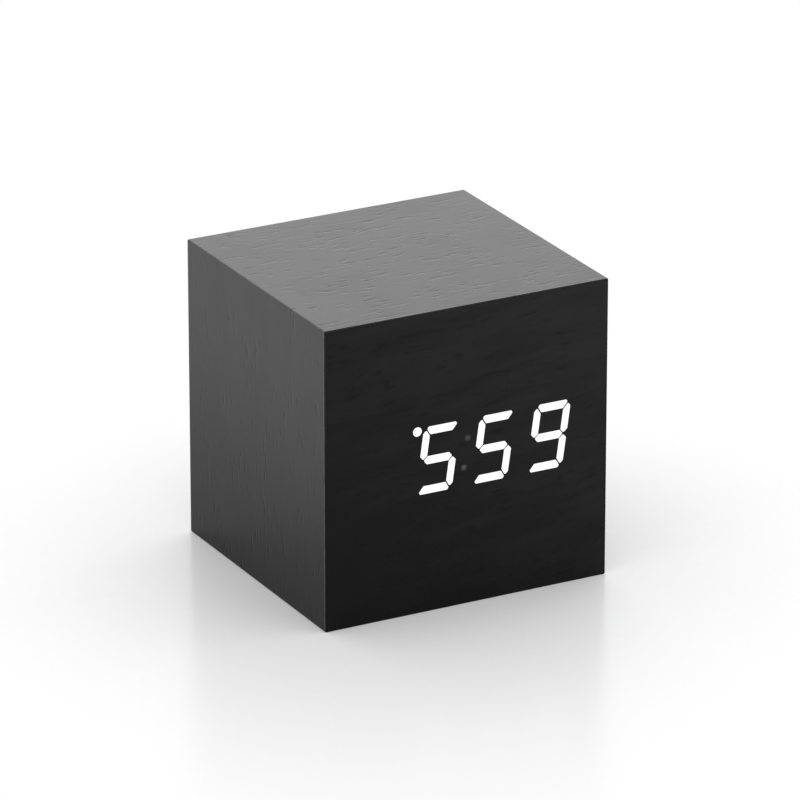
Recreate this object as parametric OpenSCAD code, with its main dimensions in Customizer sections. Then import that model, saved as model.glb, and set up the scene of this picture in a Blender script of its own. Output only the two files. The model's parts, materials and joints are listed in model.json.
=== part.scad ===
// Digital cube alarm clock: a veneered fibreboard cube whose digits shine through its front.
// Millimetres. +Z is up, the front face looks along -Y, the origin is at the middle of the base.

/* [Case] */
// Room between the side walls and the wider of the battery tray and the display board
side_room = 0.6; // [0.4:0.1:9]
// Depth of the clock, front to rear
body_d = 58; // [52:1:80]
// Height of the button strip above the battery tray
key_strip = 11.6; // [10.4:0.1:29]
// Thickness of the fibreboard walls
board_t = 4; // [3:0.5:6]
// Thickness of the front fibreboard
front_board_t = 3.6; // [3:0.2:4.4]
// Thickness of the veneer skins
veneer_t = 0.4; // [0.3:0.05:0.6]
// Radius of the wrapped edges
edge_r = 0.3; // [0.2:0.1:0.9]
// Side of the square glue blocks in the corners
block_w = 6; // [5.5:0.5:8]

/* [Display] */
// Height of a digit
digit_h = 13.8; // [12:0.2:15]
// Width of a digit before it leans
digit_w = 8; // [7:0.1:9]
// Distance from one digit to the next
digit_pitch = 12.2; // [11.4:0.1:14]
// Lean of the digits in degrees
digit_lean = 8; // [0:1:10]
// Stroke of the upright segments
upright_stroke = 1.5; // [1.2:0.1:1.7]
// Stroke of the level segments
level_stroke = 1.65; // [1.3:0.05:1.8]
// Height of the display's middle above the middle of the face
display_rise = 0.6; // [-4:0.1:3]
// Shift of the display's middle to the right of the middle of the face
display_shift = -0.3; // [-0.6:0.1:0.6]
// Diameter of the lit dot
dot_d = 1.9; // [1.2:0.1:2]
// Diameter of the colon dots
colon_d = 1.4; // [1:0.1:1.6]
// Depth of the light wells
well_depth = 6; // [5:0.5:8]

/* [Rear] */
// Thickness of the rear panel
panel_t = 2; // [1.8:0.1:2.4]
// Depth of the panel below the rear edge of the case
panel_recess = 1; // [0.9:0.1:2]
// Diameter of the button caps
key_d = 5; // [4:0.1:5.2]
// Distance from one button to the next
key_pitch = 8; // [7.5:0.1:8]
// Travel of a button
key_travel = 0.3; // [0.2:0.05:0.35]
// Thickness of the battery door
door_t = 1.6; // [1.4:0.1:1.6]
// Diameter of the door's hinge pins
pin_d = 1; // [0.8:0.1:1]
// Diameter of an AAA cell
cell_d = 10.5; // [9.5:0.1:14.5]
// Length of an AAA cell with its nub
cell_l = 44.5; // [40:0.5:50.5]
// Length of a fitted battery spring
spring_l = 4.3; // [3.6:0.1:6]

/* [Fits] */
// Gap round the rear panel and the battery door
fit = 0.2; // [0.15:0.05:0.25]
// Radial clearance of the hinge pins
pin_gap = 0.05; // [0.03:0.01:0.1]
// Radial clearance of screws in their holes
screw_gap = 0.05; // [0.03:0.01:0.1]
// Radial clearance of the buttons in the panel
key_gap = 0.15; // [0.1:0.05:0.2]

/* [Hidden] */
$fn = 48;
overcut = 1;

// Light box: the reflector, and the circuit board that carries it
reflector_rim = 1.2;
lean_reach = digit_h * tan(digit_lean);
reflector_w = 3 * digit_pitch + digit_w + lean_reach + 2 * reflector_rim;
reflector_h = digit_h + 2 * reflector_rim;
display_screw_inset = 2;
display_screw_clear = 3.5;
display_screw_rim = 3;
display_screw_x = reflector_w / 2 - display_screw_inset;
display_screw_z = reflector_h / 2 + display_screw_clear;
display_board_w = 2 * (display_screw_x + display_screw_rim);
display_board_h = 2 * (display_screw_z + display_screw_rim);

// Battery tray, with the cells lying across and stacked
moulding_t = 1.2;
contact_t = 0.4;
contact_w = 8;
cell_gap = 0.4;
cell_pitch = cell_d + cell_gap;
tray_slack = 0.15;
tray_x = (cell_l + spring_l) / 2 + contact_t;
tray_low = veneer_t + board_t + block_w + fit + moulding_t;
tray_high = tray_low + 3 * cell_pitch + 2 * tray_slack;
tray_top = tray_high + moulding_t;

// Case, whose walls stand round the tray, the display board and the button strip
front_y = -body_d / 2;
rear_y = body_d / 2;
skin_y = front_y + veneer_t;
wall_y = skin_y + front_board_t;
inner_x = max(tray_x + moulding_t, display_board_w / 2 + abs(display_shift)) + side_room;
inner_low = veneer_t + board_t;
inner_high = tray_top + key_strip;
core_x = inner_x + board_t;
core_low = veneer_t;
core_high = inner_high + board_t;
body_w = 2 * (core_x + veneer_t);
body_h = core_high + veneer_t;

// Display stack, from the front veneer to the rear of its circuit board
film_t = 0.2;
circuit_t = 1.6;
film_y = skin_y + film_t;
display_y = film_y + well_depth;
display_rear = display_y + circuit_t;
display_z = body_h / 2 + display_rise;
display_middle = [display_shift, display_z];

// Parts on the display board
led_l = 1.4;
led_w = 0.7;
led_t = 0.6;
dot_led_l = 0.8;
chip_shift = -6;
chip_l = 18;
chip_w = 7.5;
chip_t = 2.3;
chip_lift = 0.2;
leg_count = 14;
leg_pitch = 1.27;
leg_w = 0.4;
leg_rise = 1.4;
leg_reach = 1.2;
leg_t = 0.25;
crystal_shift = 14;
crystal_l = 11;
crystal_w = 4.5;
crystal_t = 3.5;

// Lit segments of the four digits, the first of which is dark
DIGITS = ["", "afgcd", "afgcd", "abcdfg"];
dot_gap = 0.5;
dot_drop = 0.65;
dot_place = [-digit_pitch / 2 - digit_w / 2 - dot_gap, digit_h / 2 - dot_drop];
colon_rise = 3;
colon_places = [for (z = [colon_rise, -colon_rise]) lean([0, z])];
segment_r = 0.25;

// Half sizes that the segment outlines share: stroke centres, and the ends beside them
stroke_x = (digit_w - upright_stroke) / 2;
half_h = digit_h / 2;
half_up = upright_stroke / 2;
half_level = level_stroke / 2;
joint_gap = 0.08;
tip_rise = 0.45;
nib = 0.3;

// Screws and the pilot holes they bite into
screw_d = 2;
head_d = 3.8;
head_top_d = 2.5;
head_h = 1.3;
head_side_h = 0.8;
sink_d = 4.2;
sink_below = 0.1;
slot_l = 2.2;
slot_w = 0.5;
slot_depth = 0.7;
rear_screw_l = 9;
boss_screw_l = 6;
display_pilot_y = skin_y + 0.8;
display_tip_y = display_pilot_y + 0.2;

// Rear panel and what it carries
panel_out = rear_y - panel_recess;
panel_in = panel_out - panel_t;
panel_x = inner_x - fit;
panel_low = inner_low + fit;
panel_high = inner_high - fit;
block_l = 14;
block_floor = 2;
block_x = inner_x - block_w / 2;
block_zs = [inner_low + block_w / 2, inner_high - block_w / 2];
sound_ring = 2.2;
sound_d = 1.2;

// Depth of the tray, from the closed door to the front of its floor
cell_door_gap = 0.3;
cell_floor_gap = 0.1;
door_in = panel_out - door_t;
cell_y = door_in - cell_door_gap - cell_d / 2;
tray_floor = cell_y - cell_d / 2 - cell_floor_gap;
tray_front = tray_floor - moulding_t;
rib_end = 10;
rib_t = 1.2;
rib_h = 1.5;

// Battery door and its hinge, which lies along X in the door's rounded lower edge
gate_lap = 0.8;
gate_rim = 0.25;
gate_low = tray_low - gate_lap;
gate_high = tray_high + gate_lap;
gate_x = tray_x + gate_rim;
door_low = gate_low + fit;
door_high = gate_high - fit;
door_x = gate_x - fit;
hinge_y = panel_out - door_t / 2;
hinge_z = door_low + door_t / 2;
pin_l = 0.8;
rest_gap = 0.05;
tongue_w = 6;
tongue_l = 2;
tongue_t = 0.8;
tongue_drop = 0.2;
tongue_gap = 0.3;
thumb_r = 2;
grip_count = 4;
grip_w = 12;
grip_t = 0.6;
grip_pitch = 1.2;
grip_rise = 0.3;

// Key circuit board behind the panel's top strip
switch_w = 6;
switch_h = 3.4;
rivet_x = 2.2;
rivet_d = 0.8;
rivet_h = 0.2;
plunger_d = 3.3;
plunger_gap = 0.1;
plunger_sink = 1;
plunger_rise = 1.2;
flange_t = 0.9;
flange_rim = 0.8;
flange_gap = 0.1;
cap_proud = 0.7;
cap_bevel = 0.3;
cap_low = panel_in - flange_gap - flange_t;
cap_top = panel_out + cap_proud;
switch_top = cap_low - plunger_rise;
key_rear = switch_top - switch_h;
key_front = key_rear - circuit_t;
key_z = (tray_top + panel_high) / 2;
key_board_gap = 0.5;
key_board_x = inner_x - key_board_gap;
key_board_low = tray_top + key_board_gap;
key_board_high = inner_high - key_board_gap;
notch_x = inner_x - block_w - key_board_gap;
notch_z = inner_high - block_w - key_board_gap;
boss_d = 4.2;
boss_rim = 0.4;
boss_floor = 0.4;
boss_x = key_board_x - boss_d / 2 - boss_rim;
boss_z = key_board_low + boss_d / 2;

// Power socket, buzzer and switches, side by side between the key board's notches
usb_w = 7.5;
usb_h = 2.6;
usb_cut = 0.9;
usb_wall = 0.3;
usb_gap = 0.4;
usb_sunk = 0.3;
usb_base = 0.6;
usb_x = usb_w / 2 - notch_x;
usb_out = panel_out - usb_sunk;
usb_floor = key_rear + usb_base;
blade_w = 3.75;
blade_t = 0.65;
blade_rise = 0.16;
blade_inset = 0.8;
buzzer_d = 7.4;
buzzer_h = 5;
buzzer_floor = 2;
buzzer_hole = 1.6;
part_gap = 0.6;
buzzer_x = usb_x + usb_w / 2 + part_gap + buzzer_d / 2;
key_x = buzzer_x + buzzer_d / 2 + part_gap + switch_w / 2;
key_xs = [for (i = [0:2]) key_x + key_pitch * i];

// Ribbon cable and its sockets
ribbon_wires = 6;
wire_spacing = 1;
wire_w = 0.75;
wire_t = 0.9;
web_t = 0.4;
socket_l = 4;
socket_h = 3;
socket_rim = 1;
socket_w = ribbon_wires * wire_spacing + 2 * socket_rim;
socket_clear = 2;
display_socket_z = display_z + reflector_h / 2 + socket_clear;
ribbon_bow = 3;
ribbon_steps = 24;

// Terminals, battery springs and leads
tab_w = 2;
tab_l = 1;
tab_gap = 0.2;
tab_y = tray_front - tab_l;
wire_d = 0.5;
coil_r = 3.2;
coil_tip_r = 2.2;
coil_end_gap = 0.05;
coil_turns = 3;
coil_rise = spring_l - wire_d - 2 * coil_end_gap;
coil_sides = 6;
curl_rings = 8;
coil_rings = coil_turns * curl_rings + 1;
lead_d = 1.2;
lead_gap = 0.1;
lead_inset = 5.4;
lead_end_x = boss_x - lead_inset;
lead_sides = 8;
lead_steps = 4;

// A flat outline in X and Z, drawn out along Y between two stations
module along_y(from, to) {
    translate([0, to, 0])
        rotate([90, 0, 0])
            linear_extrude(to - from)
                children();
}

// A rod along Y
module rod_y(x, z, from, to, d) {
    translate([x, to, z])
        rotate([90, 0, 0])
            cylinder(d = d, h = to - from);
}

// A rod along X
module rod_x(y, z, from, to, d) {
    translate([from, y, z])
        rotate([0, 90, 0])
            cylinder(d = d, h = to - from);
}

// A box from its least to its greatest corner
module box(low, high) {
    translate(low)
        cube(high - low);
}

// A rectangle between two corners
module rectangle(low, high) {
    translate(low)
        square(high - low);
}

// A rectangle between two corners, with round corners
module round_rectangle(low, high, r) {
    rectangle([low.x + r, low.y], [high.x - r, high.y]);
    rectangle([low.x, low.y + r], [high.x, high.y - r]);
    for (x = [low.x + r, high.x - r], y = [low.y + r, high.y - r])
        translate([x, y])
            circle(r);
}

// Case walls and skins

module veneer_wrap() {
    color("#1c1c1d")
        along_y(front_y, rear_y)
            difference() {
                round_rectangle([-body_w / 2, 0], [body_w / 2, body_h], edge_r);
                rectangle([-core_x, core_low], [core_x, core_high]);
            }
}

// One wall between its outer and inner edges, mitred at both ends
module wall(outer, inner) {
    color("#6b5138")
        along_y(wall_y, rear_y)
            polygon([outer[0], outer[1], inner[1], inner[0]]);
}

module top_board() {
    wall([[-core_x, core_high], [core_x, core_high]], [[-inner_x, inner_high], [inner_x, inner_high]]);
}

module bottom_board() {
    wall([[-core_x, core_low], [core_x, core_low]], [[-inner_x, inner_low], [inner_x, inner_low]]);
}

module left_board() {
    wall([[-core_x, core_low], [-core_x, core_high]], [[-inner_x, inner_low], [-inner_x, inner_high]]);
}

module right_board() {
    wall([[core_x, core_low], [core_x, core_high]], [[inner_x, inner_low], [inner_x, inner_high]]);
}

module front_board() {
    color("#6b5138")
        difference() {
            along_y(skin_y, wall_y)
                difference() {
                    rectangle([-core_x, core_low], [core_x, core_high]);
                    reflector_outline(fit);
                }
            display_screw_places()
                rod_y(0, 0, display_pilot_y, wall_y + overcut, screw_d + 2 * screw_gap);
        }
}

module front_veneer() {
    color("#1c1c1d")
        along_y(front_y, skin_y)
            difference() {
                rectangle([-core_x, core_low], [core_x, core_high]);
                lit_outlines();
                dot_outline();
                colon_outlines();
            }
}

module corner_blocks() {
    pilot_y = panel_in - block_l + block_floor;
    color("#b08d5e")
        for (side = [-1, 1], z = block_zs)
            translate([side * block_x, 0, z])
                difference() {
                    along_y(panel_in - block_l, panel_in)
                        square(block_w, center = true);
                    rod_y(0, 0, pilot_y, panel_in + overcut, screw_d + 2 * screw_gap);
                }
}

// Seven-segment digits

// Leans a point of an upright digit about the digit's middle
function lean(p) = [p.x + p.y * tan(digit_lean), p.y];

// Outline of the top segment
function top_segment() = [
    [-stroke_x + nib, half_h], [stroke_x - nib, half_h], [stroke_x, half_h - tip_rise],
    [stroke_x - half_up - joint_gap, half_h - level_stroke],
    [half_up + joint_gap - stroke_x, half_h - level_stroke], [-stroke_x, half_h - tip_rise]
];

// Outline of the middle segment, pointed at both ends
function middle_segment() = [
    [-stroke_x + 2 * joint_gap, 0], [-stroke_x + half_up + 2 * joint_gap, half_level],
    [stroke_x - half_up - 2 * joint_gap, half_level], [stroke_x - 2 * joint_gap, 0],
    [stroke_x - half_up - 2 * joint_gap, -half_level], [-stroke_x + half_up + 2 * joint_gap, -half_level]
];

// Outline of the upper right segment
function upper_right_segment() = [
    [stroke_x + half_up, half_h - level_stroke + nib], [stroke_x + nib, half_h - half_level],
    [stroke_x + joint_gap, half_h - half_level + joint_gap / 2],
    [stroke_x - half_up, half_h - level_stroke - nib], [stroke_x - half_up, half_level + joint_gap],
    [stroke_x, 2 * joint_gap], [stroke_x + half_up, half_level + joint_gap]
];

// An outline mirrored left to right, and one mirrored top to bottom
function swap_sides(points) = [for (p = points) [-p.x, p.y]];
function swap_ends(points) = [for (p = points) [p.x, -p.y]];

// The outline of a segment, named by the usual letters from a at the top, clockwise, to g in the middle
function segment(name) =
    name == "a" ? top_segment() :
    name == "b" ? upper_right_segment() :
    name == "c" ? swap_ends(upper_right_segment()) :
    name == "d" ? swap_ends(top_segment()) :
    name == "e" ? swap_ends(swap_sides(upper_right_segment())) :
    name == "f" ? swap_sides(upper_right_segment()) :
    middle_segment();

// Middle of an outline, half way between its least and greatest coordinates
function middle(points) = [
    for (axis = [0, 1])
        let (values = [for (p = points) p[axis]])
        (max(values) + min(values)) / 2
];

// Middle of a digit on the front face
function digit_middle(i) = display_middle + [(i - 1.5) * digit_pitch, 0];

// Leaning outlines of the named segments of one digit
module segment_outlines(names) {
    for (name = names)
        polygon([for (p = segment(name)) lean(p)]);
}

// Lit segments, with the soft corners of light through a skin
module lit_outlines() {
    for (i = [0:3])
        translate(digit_middle(i))
            for (name = DIGITS[i])
                offset(r = segment_r, $fn = 16)
                    offset(delta = -segment_r)
                        segment_outlines([name]);
}

module dot_outline() {
    translate(display_middle + dot_place)
        circle(d = dot_d);
}

module colon_outlines() {
    for (place = colon_places)
        translate(display_middle + place)
            circle(d = colon_d);
}

module reflector_outline(grow) {
    reach = [reflector_w / 2 + grow, reflector_h / 2 + grow];
    rectangle(display_middle - reach, display_middle + reach);
}

// Puts its children at the four screws of the display board
module display_screw_places() {
    for (x = [-1, 1], z = [-1, 1])
        translate([display_shift + x * display_screw_x, 0, display_z + z * display_screw_z])
            children();
}

module lit_segments() {
    color("white")
        along_y(front_y, skin_y)
            lit_outlines();
}

module status_light() {
    color("white")
        along_y(front_y, skin_y)
            dot_outline();
}

module colon_lights() {
    color("#4c4c4e")
        along_y(front_y, skin_y)
            colon_outlines();
}

module diffuser_film() {
    color("#e8e8e4")
        along_y(skin_y, film_y)
            reflector_outline(0);
}

module segment_reflector() {
    color("#f4f4f0")
        along_y(film_y, display_y)
            difference() {
                reflector_outline(0);
                for (i = [0:3])
                    translate(digit_middle(i))
                        segment_outlines("abcdefg");
                dot_outline();
                colon_outlines();
            }
}

module display_board() {
    color("#1f5a35")
        difference() {
            along_y(display_y, display_rear)
                translate(display_middle)
                    square([display_board_w, display_board_h], center = true);
            display_screw_places()
                rod_y(0, 0, display_y - overcut, display_rear + overcut, screw_d + 2 * screw_gap);
        }
}

// One LED chip on the front of the display board
module led_chip(place, length, turn) {
    translate([place.x, display_y - led_t / 2, place.y])
        rotate([0, turn, 0])
            cube([length, led_t, led_w], center = true);
}

module led_chips() {
    color("#f2e9b8") {
        for (i = [0:3])
            for (name = "abcdefg") {
                level = name == "a" || name == "d" || name == "g";
                led_chip(digit_middle(i) + lean(middle(segment(name))), led_l, level ? 0 : 90 + digit_lean);
            }
        for (place = concat([dot_place], colon_places))
            led_chip(display_middle + place, dot_led_l, 0);
    }
}

module controller_chip() {
    color("#242424")
        translate([display_shift + chip_shift, display_rear, display_z]) {
            box([-chip_l / 2, chip_lift, -chip_w / 2], [chip_l / 2, chip_lift + chip_t, chip_w / 2]);
            for (i = [0:leg_count - 1], side = [0, 1])
                mirror([0, 0, side])
                    translate([(i - (leg_count - 1) / 2) * leg_pitch, 0, chip_w / 2])
                        chip_leg();
        }
}

// One bent leg of the controller: down the side of the chip, then out along the board
module chip_leg() {
    box([-leg_w / 2, 0, -leg_t], [leg_w / 2, leg_rise, leg_t]);
    box([-leg_w / 2, 0, 0], [leg_w / 2, leg_t, leg_reach]);
}

module crystal() {
    color("#c9ccd0")
        along_y(display_rear, display_rear + crystal_t)
            translate([display_shift + crystal_shift, display_z]) {
                square([crystal_l - crystal_w, crystal_w], center = true);
                for (side = [-1, 1])
                    translate([side * (crystal_l - crystal_w) / 2, 0])
                        circle(d = crystal_w);
            }
}

module display_spacers() {
    color("#e8e6df")
        display_screw_places()
            difference() {
                rod_y(0, 0, wall_y, display_y, 2 * screw_d);
                rod_y(0, 0, wall_y - overcut, display_y + overcut, screw_d + 2 * screw_gap);
            }
}

// A cross slot, cut from the top of a screw head
module cross_slot() {
    for (turn = [0, 90])
        rotate([0, 0, turn])
            translate([0, 0, (overcut - slot_depth) / 2])
                cube([slot_l, slot_w, slot_depth + overcut], center = true);
}

// A pan-head screw along -Z, its head resting at the origin
module pan_screw(length) {
    difference() {
        union() {
            cylinder(d = head_d, h = head_side_h);
            translate([0, 0, head_side_h])
                cylinder(d1 = head_d, d2 = head_top_d, h = head_h - head_side_h);
            translate([0, 0, -length])
                cylinder(d = screw_d, h = length);
        }
        translate([0, 0, head_h])
            cross_slot();
    }
}

module display_screws() {
    color("#b9bbbe")
        display_screw_places()
            translate([0, display_rear, 0])
                rotate([-90, 0, 0])
                    pan_screw(display_rear - display_tip_y);
}

// Ribbon cable between the two boards

module display_socket() {
    color("#efece2")
        box([-socket_w / 2, display_rear, display_socket_z - socket_h / 2],
            [socket_w / 2, display_rear + socket_l, display_socket_z + socket_h / 2]);
}

module key_socket() {
    color("#efece2")
        box([-socket_w / 2, key_front - socket_l, key_z - socket_h / 2],
            [socket_w / 2, key_front, key_z + socket_h / 2]);
}

// Height of the ribbon, which leaves both sockets level and bows upwards between them
function ribbon_z(t) =
    display_socket_z + (key_z - display_socket_z) * (3 - 2 * t) * t * t + ribbon_bow * pow(sin(180 * t), 2);

// A strip of the ribbon, drawn out along X
module ribbon_strip(x, width, thick) {
    from = display_rear + socket_l;
    to = key_front - socket_l;
    ts = [for (i = [0:ribbon_steps]) i / ribbon_steps];
    upper = [for (t = ts) [from + (to - from) * t, ribbon_z(t) + thick / 2]];
    lower = [for (i = [ribbon_steps:-1:0]) upper[i] - [0, thick]];
    translate([x, 0, 0])
        rotate([90, 0, 90])
            linear_extrude(width, center = true)
                polygon(concat(upper, lower));
}

module ribbon_cable() {
    color("#9a9ca0") {
        ribbon_strip(0, ribbon_wires * wire_spacing, web_t);
        for (i = [0:ribbon_wires - 1])
            ribbon_strip((i - (ribbon_wires - 1) / 2) * wire_spacing, wire_w, wire_t);
    }
}

// Key board and what stands on it

// Puts its children at the two screws of the key board
module boss_places() {
    for (side = [-1, 1])
        translate([side * boss_x, 0, boss_z])
            children();
}

module key_board() {
    color("#1f5a35")
        difference() {
            along_y(key_front, key_rear)
                difference() {
                    rectangle([-key_board_x, key_board_low], [key_board_x, key_board_high]);
                    for (side = [0, 1])
                        mirror([side, 0])
                            rectangle([notch_x, notch_z], [body_w, body_h]);
                }
            boss_places()
                rod_y(0, 0, key_front - overcut, key_rear + overcut, screw_d + 2 * screw_gap);
        }
}

module key_board_screws() {
    color("#b9bbbe")
        boss_places()
            translate([0, key_front, 0])
                rotate([90, 0, 0])
                    pan_screw(boss_screw_l);
}

module buzzer() {
    color("#1a1a1a")
        difference() {
            rod_y(buzzer_x, key_z, key_rear, key_rear + buzzer_h, buzzer_d);
            rod_y(buzzer_x, key_z, key_rear + buzzer_floor, key_rear + buzzer_h + overcut, buzzer_hole);
        }
}

// Outline of the power socket: a flat slot with its two lower corners cut off
module usb_outline(shrink) {
    x = usb_w / 2 - shrink;
    z = usb_h / 2 - shrink;
    cut = usb_cut - shrink / 2;
    translate([usb_x, key_z])
        polygon([[-x, z], [x, z], [x, cut - z], [x - cut, -z], [cut - x, -z], [-x, cut - z]]);
}

module usb_shell() {
    color("#c4c7cb")
        difference() {
            along_y(key_rear, usb_out)
                usb_outline(0);
            along_y(usb_floor, usb_out + overcut)
                usb_outline(usb_wall);
        }
}

module usb_tongue() {
    color("#151515")
        box([usb_x - blade_w / 2, usb_floor, key_z + blade_rise - blade_t / 2],
            [usb_x + blade_w / 2, usb_out - blade_inset, key_z + blade_rise + blade_t / 2]);
}

// Body of one push switch, open at the top for its plunger
module switch(i) {
    color("#2a2a2c")
        translate([key_xs[i], 0, key_z])
            difference() {
                union() {
                    box([-switch_w / 2, key_rear, -switch_w / 2], [switch_w / 2, switch_top, switch_w / 2]);
                    for (x = [-rivet_x, rivet_x], z = [-rivet_x, rivet_x])
                        rod_y(x, z, switch_top - rivet_h, switch_top + rivet_h, rivet_d);
                }
                rod_y(0, 0, switch_top - plunger_sink - key_travel - plunger_gap, switch_top + overcut,
                      plunger_d + 2 * plunger_gap);
            }
}

module plunger(i) {
    color("#c8742c")
        rod_y(key_xs[i], key_z, switch_top - plunger_sink, cap_low, plunger_d);
}

// One button cap, held behind the panel by its flange
module button(i) {
    color("#26262a") {
        rod_y(key_xs[i], key_z, cap_low, cap_low + flange_t, key_d + 2 * flange_rim);
        rod_y(key_xs[i], key_z, cap_low, cap_top - cap_bevel, key_d);
        translate([key_xs[i], cap_top - cap_bevel, key_z])
            rotate([-90, 0, 0])
                cylinder(d1 = key_d, d2 = key_d - 2 * cap_bevel, h = cap_bevel);
    }
}

// Rear panel, battery tray and door

// Height of a cell's axis, counted from the lowest
function cell_z(i) = tray_low + tray_slack + (i + 0.5) * cell_pitch;

// Puts its children at the four screws of the rear panel
module rear_screw_places() {
    for (side = [-1, 1], z = block_zs)
        translate([side * block_x, 0, z])
            children();
}

// A countersunk screw along -Y, or the hole for it, which is wider by a gap
module sunk_screw(gap, proud, length) {
    head_y = panel_out - sink_below;
    cone_h = (sink_d - screw_d) / 2;
    rod_y(0, 0, head_y - length, head_y - cone_h / 2, screw_d + 2 * gap);
    translate([0, head_y - cone_h, 0])
        rotate([-90, 0, 0])
            cylinder(d1 = screw_d + 2 * gap, d2 = sink_d + 2 * (gap + proud), h = cone_h + proud);
}

module rear_panel() {
    color("#232326") {
        difference() {
            union() {
                along_y(panel_in, panel_out)
                    rectangle([-panel_x, panel_low], [panel_x, panel_high]);
                box([-tray_x - moulding_t, tray_front, tray_low - moulding_t],
                    [tray_x + moulding_t, panel_in, tray_top]);
                boss_places()
                    rod_y(0, 0, key_rear, panel_in, boss_d);
            }
            box([-tray_x, tray_floor, tray_low], [tray_x, panel_in + overcut, tray_high]);
            box([-gate_x, panel_in, gate_low], [gate_x, panel_out + overcut, gate_high]);
            tab_slot(1, 0);
            tab_slot(-1, 2);
            box([-tongue_w / 2 - tongue_gap, door_in - tongue_l - tongue_gap, tray_high - overcut],
                [tongue_w / 2 + tongue_gap, panel_out, gate_high]);
            rod_y(0, gate_high, panel_out - panel_t / 2, panel_out + overcut, 2 * thumb_r);
            rod_x(hinge_y, hinge_z, -door_x - pin_l - fit, door_x + pin_l + fit, pin_d + 2 * pin_gap);
            boss_places()
                rod_y(0, 0, key_rear - overcut, panel_in - boss_floor, screw_d + 2 * screw_gap);
            rear_screw_places()
                sunk_screw(screw_gap, sink_below + overcut, panel_t + overcut);
            for (x = key_xs)
                rod_y(x, key_z, panel_in - overcut, panel_out + overcut, key_d + 2 * key_gap);
            along_y(panel_in - overcut, panel_out + overcut)
                usb_outline(-usb_gap);
            for (turn = [0:60:300])
                rod_y(buzzer_x + sound_ring * cos(turn), key_z + sound_ring * sin(turn),
                      panel_in - overcut, panel_out + overcut, sound_d);
            rod_y(buzzer_x, key_z, panel_in - overcut, panel_out + overcut, sound_d);
        }
        for (side = [-1, 1])
            door_rest(side);
        for (i = [1, 2])
            cell_rib(i);
    }
}

// Slot in the tray's floor for the solder tab of a terminal
module tab_slot(side, i) {
    inner = side * (tray_x - contact_t - tab_gap);
    outer = side * tray_x;
    box([min(inner, outer), tray_front - overcut, cell_z(i) - tab_w / 2 - tab_gap],
        [max(inner, outer), tray_floor + overcut, cell_z(i) + tab_w / 2 + tab_gap]);
}

// Lip that the closed door rests on, to one side of its tongue
module door_rest(side) {
    from = tongue_w / 2 + tongue_gap;
    box([side > 0 ? from : -tray_x, panel_in - moulding_t, tray_high],
        [side > 0 ? tray_x : -from, door_in - rest_gap, gate_high]);
}

// Low rib between two cells on the tray's floor
module cell_rib(i) {
    z = tray_low + tray_slack + i * cell_pitch;
    box([rib_end - tray_x, tray_floor - moulding_t / 2, z - rib_t / 2],
        [tray_x - rib_end, tray_floor + rib_h, z + rib_t / 2]);
}

module rear_screws() {
    color("#b9bbbe")
        rear_screw_places()
            difference() {
                sunk_screw(0, 0, rear_screw_l);
                translate([0, panel_out - sink_below, 0])
                    rotate([-90, 0, 0])
                        cross_slot();
            }
}

module battery_door() {
    tongue_top = door_high - tongue_drop;
    grip_top = door_high - grip_pitch;
    color("#232326") {
        box([-door_x, door_in, hinge_z], [door_x, panel_out, door_high]);
        rod_x(hinge_y, hinge_z, -door_x, door_x, door_t);
        rod_x(hinge_y, hinge_z, -door_x - pin_l, door_x + pin_l, pin_d);
        box([-tongue_w / 2, door_in - tongue_l, tongue_top - tongue_t],
            [tongue_w / 2, door_in + door_t / 2, tongue_top]);
        for (i = [0:grip_count - 1])
            translate([0, panel_out, grip_top - grip_pitch * i])
                box([-grip_w / 2, -grip_rise, -grip_t], [grip_w / 2, grip_rise, 0]);
    }
}

// One cell, its nub towards +X where way is 1 and towards -X where it is -1
module cell(i) {
    way = i == 1 ? -1 : 1;
    r = cell_d / 2;
    nub_r = 1.9;
    nub_l = 1;
    crimp = 0.5;
    can_l = cell_l - nub_l;
    color("#33363c")
        translate([way * (tray_x - contact_t - cell_l), cell_y, cell_z(i)])
            rotate([0, way * 90, 0])
                rotate_extrude()
                    polygon([
                        [0, 0], [r - crimp, 0], [r, crimp], [r, can_l - crimp], [r - crimp, can_l],
                        [nub_r, can_l], [nub_r, cell_l], [0, cell_l]
                    ]);
}

// A contact plate on one end wall of the tray, from one cell to another
module contact_plate(side, from, to) {
    inner = side * (tray_x - contact_t);
    outer = side * tray_x;
    box([min(inner, outer), cell_y - contact_w / 2, cell_z(from) - contact_w / 2],
        [max(inner, outer), cell_y + contact_w / 2, cell_z(to) + contact_w / 2]);
}

// A terminal: a contact plate with a solder tab through the tray's floor
module terminal(side, i) {
    inner = side * (tray_x - contact_t);
    outer = side * tray_x;
    color("#c4c7cb") {
        contact_plate(side, i, i);
        box([min(inner, outer), tab_y, cell_z(i) - tab_w / 2],
            [max(inner, outer), cell_y, cell_z(i) + tab_w / 2]);
    }
}

module positive_contact() {
    terminal(1, 0);
}

module negative_contact() {
    terminal(-1, 2);
}

module bridge_contacts() {
    color("#c4c7cb") {
        contact_plate(-1, 0, 1);
        contact_plate(1, 1, 2);
    }
}

// Swept tubes

// Triangles of a tube of rings, closed at both ends
function tube_faces(rings, sides) = concat(
    [for (j = [1:sides - 2]) [0, j, j + 1]],
    [for (j = [1:sides - 2], last = (rings - 1) * sides) [last, last + j + 1, last + j]],
    [for (i = [0:rings - 2], j = [0:sides - 1], half = [0, 1])
        let (a = i * sides + j, b = i * sides + (j + 1) % sides)
        half == 0 ? [a, a + sides, b] : [b, a + sides, b + sides]]
);

// Middle of the spring's wire after some turns, from the wide end at the contact plate
function coil_point(turn) =
    let (t = turn / coil_turns, r = coil_r + (coil_tip_r - coil_r) * t)
    [wire_d / 2 + coil_end_gap + coil_rise * t, r * cos(360 * turn), r * sin(360 * turn)];

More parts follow.
